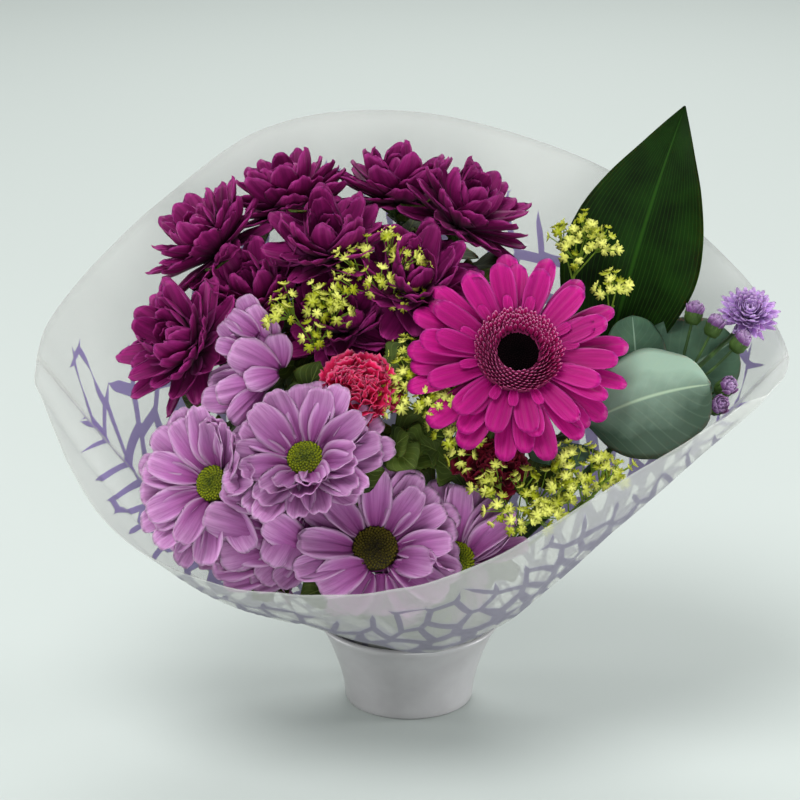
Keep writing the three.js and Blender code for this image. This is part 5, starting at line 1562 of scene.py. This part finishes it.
def bud_meshes(place, fork_point, seed):
    """A half-open aster bud: furled petals in a cup of bracts."""
    away = (place - fork_point).normalized()
    spot = frame_at(place, (away.x, away.y - 0.3, away.z + 0.6))
    cup = core_mesh(spot, BUD_RADIUS * 0.78, -BUD_RADIUS, BUD_RADIUS * 0.3, bract_green, 14)
    draw = random.Random(seed)
    furled, bracts = [], []
    for index in range(BUD_PETALS):
        angle = index * SPIRAL_TURN
        share = index / (BUD_PETALS - 1)
        root = point_at(spot, angle, 0.5 + BUD_RADIUS * 0.6 * math.sqrt(share), -1.5)
        size = mix(0.72, 0.52, share)
        furled.append((root, turn_at(spot, angle, math.radians(mix(97, 84, share) + draw.uniform(-6, 6))),
                       (size, 1.1, size), draw.randrange(VARIANTS)))
    for index in range(BUD_BRACTS):
        angle = 2 * math.pi * index / BUD_BRACTS
        root = point_at(spot, angle, BUD_RADIUS * 0.55, -BUD_RADIUS * 0.8)
        bracts.append((root, turn_at(spot, angle, math.radians(66)), (0.62, 0.5, 0.5), index % 3))
    return [cup, set_on_points(furled, PETAL_SETS["aster"], petal_bud, seed),
            set_on_points(bracts, PETAL_SETS["bract"], bract_green, seed)]


# Foliage under the blooms

SMALL_LEAF = 38
LEAF_LOOKS = [
    {"root": (0, 0, 0), "tip": (SMALL_LEAF, 0, 0), "facing": (0, 0, 1), "width": 25, "arch": 4},
    {"root": (0, 0, 0), "tip": (SMALL_LEAF, 4, 0), "facing": (0, 0.2, 1), "width": 22, "arch": 2},
    {"root": (0, 0, 0), "tip": (SMALL_LEAF, -3, 0), "facing": (0, -0.2, 1), "width": 28, "arch": 6},
]
LEAF_SET = body_set("small_leaves", [
    leaf_mesh(f"small_leaf_{i}", shape, LOBED_LEAF, None, 22, 10, 0.5, 0.7, 0.25, 0.6)
    for i, shape in enumerate(LEAF_LOOKS)])


def free_leaves(places, seed):
    """Leaves that find room: each place is (foot, way that it grows, way that it faces, size)."""
    draw = random.Random(seed)
    spots, stalks = [], []
    for foot, way, facing, size in places:
        for attempt in range(10):
            spread_by = 0.1 + 0.08 * attempt
            along = (Vector(way).normalized()
                     + Vector([draw.uniform(-spread_by, spread_by) for _ in range(3)])).normalized()
            side = along.cross(Vector(facing)).normalized()
            face = side.cross(along)
            scale = size * (1 - 0.05 * attempt)
            root = Vector(foot) + along * 6
            turned = Matrix((along, -side, face)).transposed()
            blade = [root + turned @ Vector((SMALL_LEAF * u, 11 * v, 3)) * scale
                     for u in (0.15, 0.45, 0.75, 1) for v in (-1, 0, 1) if abs(v) * u < 1]
            if has_room(blade):
                stalks.append(([Vector(foot), root + along], 0.8, 0.6))
                kind = draw.randrange(len(LEAF_LOOKS))
                spots.append((root, turned.to_euler(), (scale, scale, scale), kind))
                break
    return spots, stalks


# Filler sprays

def star_mesh(name, radius, rays, seed):
    """A tiny open flower: blunt notched sepals round a raised middle."""
    draw = random.Random(seed)
    points, faces = [(0, 0, 0.5), (0, 0, -0.5)], []
    rim = []
    for ray in range(rays):
        for step, wide, rise in ((-0.27, 0.95, 0.8), (0, 0.86, 0.5), (0.27, 0.98, 0.9), (0.5, 0.55, 0.15)):
            angle = 2 * math.pi * (ray + step) / rays
            wide *= radius * draw.uniform(0.9, 1.1)
            rim.append((wide * math.cos(angle), wide * math.sin(angle), rise * radius * 0.5))
    points += rim
    for corner in range(len(rim)):
        here, after = 2 + corner, 2 + (corner + 1) % len(rim)
        faces += [(0, here, after), (1, after, here)]
    for index in range(4):
        angle = 2 * math.pi * index / 4
        spot = len(points)
        x, y = 0.5 * math.cos(angle), 0.5 * math.sin(angle)
        points += [(x - 0.22, y - 0.22, 0.2), (x + 0.22, y - 0.22, 0.2), (x, y + 0.27, 0.2)]
        points.append((x * 1.3, y * 1.3, 1.3))
        faces += [(spot, spot + 1, spot + 3), (spot + 1, spot + 2, spot + 3), (spot + 2, spot, spot + 3),
                  (spot, spot + 2, spot + 1)]
    return new_mesh(name, points, faces)


# Radius and count of sepals
STARS = [(3.4, 5), (3.2, 5), (2.8, 4)]
STAR_SET = body_set("stars", [star_mesh(f"star_{i}", *star, i) for i, star in enumerate(STARS)])


def filler_meshes(name, number):
    """A spray: clusters of florets where its solid has them, and further ones where there is room."""
    trunk, heads = FILLERS[name]
    tree = cad_tree(name)
    hubs = [Vector(head[:3]) - FILLER_FACING * HUB_DEPTH for head in heads]
    fork = mix(VASE_HEIGHT, min(hub.z for hub in hubs), FORK)
    lines, spots = [], []
    for side, (head, hub) in enumerate(zip(heads, hubs)):
        low, radius = (fork - 6, 0.9) if side else (STEM_FOOT, 1.2)
        lines.append((stem_route(trunk, hub, fork, low), radius, 0.7))
        seed = 100 + 2 * number + side
        draw = random.Random(seed)
        spot = frame_at(head[:3], FILLER_FACING)
        tips = SPRAY_TIPS.get(name, []) if side == len(heads) - 1 else []
        within = FLORETS_PER_HEAD + EXTRA_CLUSTERS[name][side]
        for index in range(within + len(tips)):
            extra = index >= FLORETS_PER_HEAD
            angle = index * SPIRAL_TURN + frac_noise(seed, index)
            share = draw.uniform(0.3, 1.25) if extra else math.sqrt((index + 0.5) / FLORETS_PER_HEAD)
            wide = head[3] * share
            height = 5 * (frac_noise(seed, index + 20) - 0.2) + 0.16 * (head[3] - wide)
            for step in (0, 5, -5, 10, -10, 15):
                place = point_at(spot, angle, wide, height + step)
                if index >= within:
                    place = Vector(tips[index - within]) + spot[3] * step
                tilt = spot[3] + (place - spot[0]) * 0.03
                own = frame_at(place, tilt)
                if extra and not has_room([place]):
                    continue
                if not extra and tree.find(point_at(own, 0, 0, 0.9) * MM)[2] > 0.3 * MM:
                    continue
                foot = stem_point(trunk, hub, fork, hub.z - 2 - 1.6 * (index % 9))
                near = foot.lerp(place, 0.62) + Vector((0, 0, 0.8))
                if not (inside_film(near, 2) and within_rim(near, 5)):
                    continue
                lines.append(([foot, foot.lerp(near, 0.5), near], 0.5, 0.35))
                for twig in range(FLORETS_PER_CLUSTER):
                    around = SPIRAL_TURN * twig + draw.uniform(0, 1)
                    out = 1 + 6.8 * math.sqrt(twig / FLORETS_PER_CLUSTER)
                    end = point_at(own, around, out, draw.uniform(-5, 3))
                    if not (inside_film(end, 1.5) and within_rim(end, 5)):
                        continue
                    lines.append(([near, near.lerp(end, 0.55) + own[3] * 0.3, end], 0.34, 0.26))
                    face = frame_at(end, own[3] + (end - place) * 0.16)
                    size = draw.uniform(0.7, 1.12)
                    turned = turn_at(face, draw.uniform(0, 6), 0)
                    spots.append((end, turned, (size, size, size), draw.randrange(len(STARS))))
                break
    stalks = tubes(lines, stalk_filler, 5, 5)
    return [set_on_points(spots, STAR_SET, floret_filler, number + 1), stalks]


# Carnations

def ruffle_mesh(name, size, seed):
    """A fan of a petal whose edge is frilled and finely toothed."""
    draw = random.Random(seed)
    teeth = 9
    phase = draw.uniform(0, 6)

    def place(share, side):
        fan = math.radians(46) * side * (0.35 + 0.65 * share)
        along = size * (0.12 + 0.88 * share) * (1 - 0.07 * side * side)
        between = round((side + 1) * teeth) % 2
        along -= size * (0.05 * between + draw.uniform(0, 0.02)) * smooth(0.75, 1, share)
        frill = size * 0.13 * share ** 2 * math.sin(6.5 * side + phase + share)
        frill += size * 0.035 * share ** 4 * math.sin(15 * side - phase)
        spot = Vector((along * math.cos(fan), along * math.sin(fan), frill + size * 0.14 * share * share))
        return spot, spot - Vector((0, 0, 0.35 * (1 - side * side)))

    return thin_shell(name, 8, 2 * teeth, place)


# The fans of a carnation: how many, of how many shapes, and how much larger than in the solid
FANS = 46
FAN_SHAPES = 5
FAN_SWELL = 1.08


def carnation_meshes(name, finish, seed):
    """A carnation: fans laid in a spiral on a seat, the steeper the nearer they are to its middle."""
    flower = CARNATIONS[name]
    spot = frame_at(flower["place"], flower["facing"])
    size = flower["size"]
    fans = body_set(f"{name}_fans", [ruffle_mesh(f"{name}_fan_{i}", size, seed * 10 + i)
                                     for i in range(FAN_SHAPES)])
    draw = random.Random(seed)
    spots = []
    for index in range(FANS):
        share = index / (FANS - 1)
        angle = index * SPIRAL_TURN
        lift = mix(4, 86, share ** 0.85) + draw.uniform(-8, 8)
        length = mix(1.0, 0.8, share) * draw.uniform(0.9, 1.02)
        root = point_at(spot, angle, mix(2.5, 0.4, share), mix(-1.6, 2.2, share))
        width = mix(0.85, 0.6, share)
        stretch = [FAN_SWELL * part for part in (length, width, length)]
        spots.append((root, turn_at(spot, angle, math.radians(lift), math.radians(draw.uniform(-35, 35))),
                      stretch, draw.randrange(FAN_SHAPES)))
    seat = core_mesh(spot, 4.6, CALYX_TOP + 0.4, 3, finish)
    return [set_on_points(spots, fans, finish, seed), seat]


# Pieces

def hand_on(name, slot, meshes):
    """Joins the meshes of a finished piece, which rides on the one body in place of its CAD node."""
    piece = joined(f"{name}_fine", meshes)
    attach(piece, "root")
    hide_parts(name)
    return piece


hand_on("vase", "vase_ceramic", [vase_mesh()])
film_piece = hand_on("sleeve", "sleeve_film", [SLEEVE])

# Layers of finer petals between those of the CAD, as bloom_spots takes them
LAYERS = {
    "lilac": [(0, 9, -5, 0.98, 1.0), (0, 8, 12, 0.97, 1.0), (1, 7, -6, 1.06, 1.0)],
    "purple": [(0, 7, 12, 1.12, 1.0), (1, 7, 0, 1.28, 1.0), (1, 5, 14, 1.22, 1.0), (2, 3, -10, 1.36, 1.0)],
    "gerbera": [(0, 8, 4, 0.97, 0.95), (1, 7, 5, 0.92, 0.92)],
    "aster": [(0, 11, 12, 0.97, 1.0), (1, 9, 4, 1.1, 1.0)],
}
# Small petals in a bloom's heart: how many, their radius, height, lift and stretch from the outermost to the
# innermost, and which ring's petal they are
HEARTS = {
    "purple": (5, (3.4, 0.6), (0.6, 2.2), (50, 74), [(1.2, 0.9)] * 3, 3),
    "aster": (90, (4.6, 0.8), (-0.4, 1.8), (14, 84), [(1.3, 0.8), (1.25, 1.25), (1.2, 1.2)], 1),
}
FINISHES = {
    "lilac": (petal_lilac, "lilac_petal"), "purple": (petal_purple, "purple_petal"),
    "gerbera": (petal_gerbera, "gerbera_petal"), "aster": (petal_aster, "aster_petal"),
}
bud_small = small_bud("bud_small", 0.62, 0.95)
bud_open = small_bud("bud_open", 0.74, 1.3)
strap = strap_floret("strap", 5.8, 2.1)
# The florets of each eye: body, finish, count, and how far the outermost stand inside its edge
EYES = {
    "lilac": (bud_small, disc_green, 130, 0.5), "olive": (bud_open, disc_olive, 190, 0.5),
    "aster": (bud_small, disc_lavender, 40, 0.4), "gerbera": (bud_small, disc_black, 240, 0.5),
}

for number, (name, (kind, place, facing, turn)) in enumerate(BLOOMS.items(), 1):
    family = name.split("_")[0]
    finish, slot = FINISHES[family]
    spot, core, spots, draw = bloom_spots(name, number, LAYERS[family])
    top = kind.get("seat", kind["rings"][-1]["base"])
    if family in HEARTS:
        count, radii, heights, lifts, stretches, level = HEARTS[family]
        for index in range(count):
            share = index / (count - 1)
            angle = index * SPIRAL_TURN
            root = point_at(spot, angle, mix(*radii, share), mix(*heights, share))
            lift = mix(*lifts, share) + draw.uniform(-8, 8)
            spots.append((root, turn_at(spot, angle, math.radians(lift)),
                          [mix(*stretch, share) for stretch in stretches],
                          level * VARIANTS + draw.randrange(VARIANTS)))
    if family == "gerbera":
        for index in range(FRINGE_COUNT):
            angle = 2 * math.pi * (index + draw.uniform(-0.35, 0.35)) / FRINGE_COUNT
            root = point_at(spot, angle, GERBERA_RING_RADIUS - 4.5, 3.6)
            spots.append((root, turn_at(spot, angle, math.radians(draw.uniform(14, 24))), (1, 1, 1),
                          2 * VARIANTS + draw.randrange(VARIANTS)))
    petals = set_on_points(spots, PETAL_SETS[family], finish, number)
    seat = core_mesh(spot, core - 0.4, CALYX_TOP + 0.4, top - 0.2, finish)
    hand_on(name, slot, [petals, seat])
    eye = BIG_EYE.get(name, (0, kind["eye"]))[1]
    if not eye:
        continue
    low = top + 0.3
    floret, eye_finish, count, inset = EYES["olive" if name in BIG_EYE else family]
    values = {"Outer radius": (eye - inset) * MM, "Rise": 0.4 * eye * MM, "Count": count, "Bend": 0.5}
    if family == "lilac":
        values["Seed"] = number
    made = disc_mesh(f"{name}_eye", spot, floret, eye_finish, values, eye, low, 0.4 * eye)
    hand_on(f"{name}_eye", f"{family}_eye", [made])
    if family == "gerbera":
        values = {
            "Inner radius": (eye - 0.2) * MM, "Outer radius": (GERBERA_RING_RADIUS - 2.4) * MM,
            "Rise": 2.6 * MM, "Count": 330, "Bend": 0.7, "Least size": 0.75, "Most size": 1.1, "Seed": 5,
        }
        made = disc_mesh("gerbera_florets", spot, strap, floret_crimson, values, GERBERA_RING_RADIUS - 1,
                         low, 2.2)
        hand_on("gerbera_florets", "gerbera_floret", [made])

for name, finish, seed in (
    ("carnation_pink", petal_carnation_pink, 3), ("carnation_red", petal_carnation_red, 4),
):
    hand_on(name, name, carnation_meshes(name, finish, seed))

for number, name in enumerate(STEMS):
    hand_on(name, "green_stem", stem_meshes(name, number))

for number, name in enumerate(FILLERS):
    hand_on(name, "filler_floret", filler_meshes(name, number))

# Eucalyptus branch
trunk, radius, top = EUCALYPTUS_STEM
fork = mix(VASE_HEIGHT, top[2], FORK)
lines = [(stem_route(trunk, top, fork, STEM_FOOT), radius, radius * 0.8)]
meshes = []
for number, shape in enumerate(EUCALYPTUS_LEAVES):
    root = Vector(shape["root"])
    on_stem = stem_point(trunk, top, fork, min(root.z - 12, top[2]))
    inside = root.lerp(Vector(shape["tip"]), 0.12)
    lines.append(([on_stem, on_stem.lerp(inside, 0.5) + Vector((0, 0, 1.5)), inside], 1, 0.8))
    # Painted shade: every leaf but the first takes the darker copy of the finish
    finish = blade_shaded if number else blade_waxed
    meshes.append(leaf_mesh(f"eucalyptus_{number}", shape, ROUND_LEAF, finish, 34, 16, 0.8, 0.7, 0.35,
                            fold=-0.2))
hand_on("eucalyptus", "eucalyptus_leaf", [*meshes, tubes(lines, bract_green)])

# Broad leaf
root = Vector(BROAD_LEAF["root"])
fork = mix(VASE_HEIGHT, root.z, FORK)
route = [*stem_route(BROAD_LEAF["trunk"], root, fork, STEM_FOOT), root.lerp(Vector(BROAD_LEAF["tip"]), 0.1)]
blade = leaf_mesh("broad_blade", BROAD_LEAF, POINTED_LEAF, blade_dark, 60, 24, 0.8, 1.0, 0.5)
hand_on("broad_leaf", "broad_leaf", [blade, tubes([(route, BROAD_LEAF["radius"], 1.4)], stem_green)])

# Floor, light and camera
floor_finish, tree, shader = new_finish("painted_board_pale")
shader.inputs["Base Color"].default_value = colour("#b9c0bd")
shader.inputs["Roughness"].default_value = 0.9
FLOOR_HALF = 6000
corners = [(x * FLOOR_HALF, y * FLOOR_HALF, 0) for x, y in ((-1, -1), (1, -1), (1, 1), (-1, 1))]
floor = joined("floor", [new_mesh("floor", corners, [(0, 1, 2, 3)], floor_finish)])

world = bpy.data.worlds.new("soft_studio")
world.use_nodes = True
bpy.context.scene.world = world
backdrop = world.node_tree.nodes["Background"]
backdrop.inputs[0].default_value = colour("#dfe5e2")
backdrop.inputs[1].default_value = 0.5


def soft_light(name, place, aim, size, power):
    """A round lamp: its place, its aim and its size are in metres."""
    light = bpy.data.lights.new(name, "AREA")
    light.shape, light.size, light.energy = "DISK", size, power
    made = bpy.data.objects.new(name, light)
    made.location = place
    made.rotation_mode = "QUATERNION"
    made.rotation_quaternion = (Vector(aim) - Vector(place)).to_track_quat("-Z", "Y")
    bpy.context.scene.collection.objects.link(made)


soft_light("key", (-0.6, -0.7, 2.4), (0, 0, 0.15), 1.5, 42)
soft_light("front", (0.2, -1.7, 0.3), (0, 0, 0.1), 0.8, 14)
soft_light("right", (1.4, 0.1, 0.2), (0, 0, 0.08), 0.6, 17)
soft_light("left", (-1.4, 0.1, 0.2), (0, 0, 0.08), 0.6, 12)
soft_light("back", (0.2, 1.9, 1.9), (0, 0.2, 0.2), 1.5, 34)
bpy.context.scene.view_settings.view_transform = "Standard"

# The view of the picture: degrees, metres and millimetres of sensor
FIELD_OF_VIEW = 17.1
SENSOR_WIDTH = 36
CAMERA_DISTANCE = 1.3
CAMERA_SLOPE = math.radians(18)
TARGET = Vector((-0.0045, 0, 0.1564))
camera = bpy.data.cameras.new("camera")
camera.sensor_width = SENSOR_WIDTH
camera.lens = SENSOR_WIDTH / 2 / math.tan(math.radians(FIELD_OF_VIEW / 2))
camera_object = bpy.data.objects.new("camera", camera)
back = Vector((0, -math.cos(CAMERA_SLOPE), math.sin(CAMERA_SLOPE)))
camera_object.location = TARGET + back * CAMERA_DISTANCE
camera_object.rotation_mode = "QUATERNION"
camera_object.rotation_quaternion = (-back).to_track_quat("-Z", "Y")
bpy.context.scene.collection.objects.link(camera_object)
bpy.context.scene.camera = camera_object

for made in BODY_SETS:
    for body in list(made.objects):
        bpy.data.objects.remove(body)
    bpy.data.collections.remove(made)
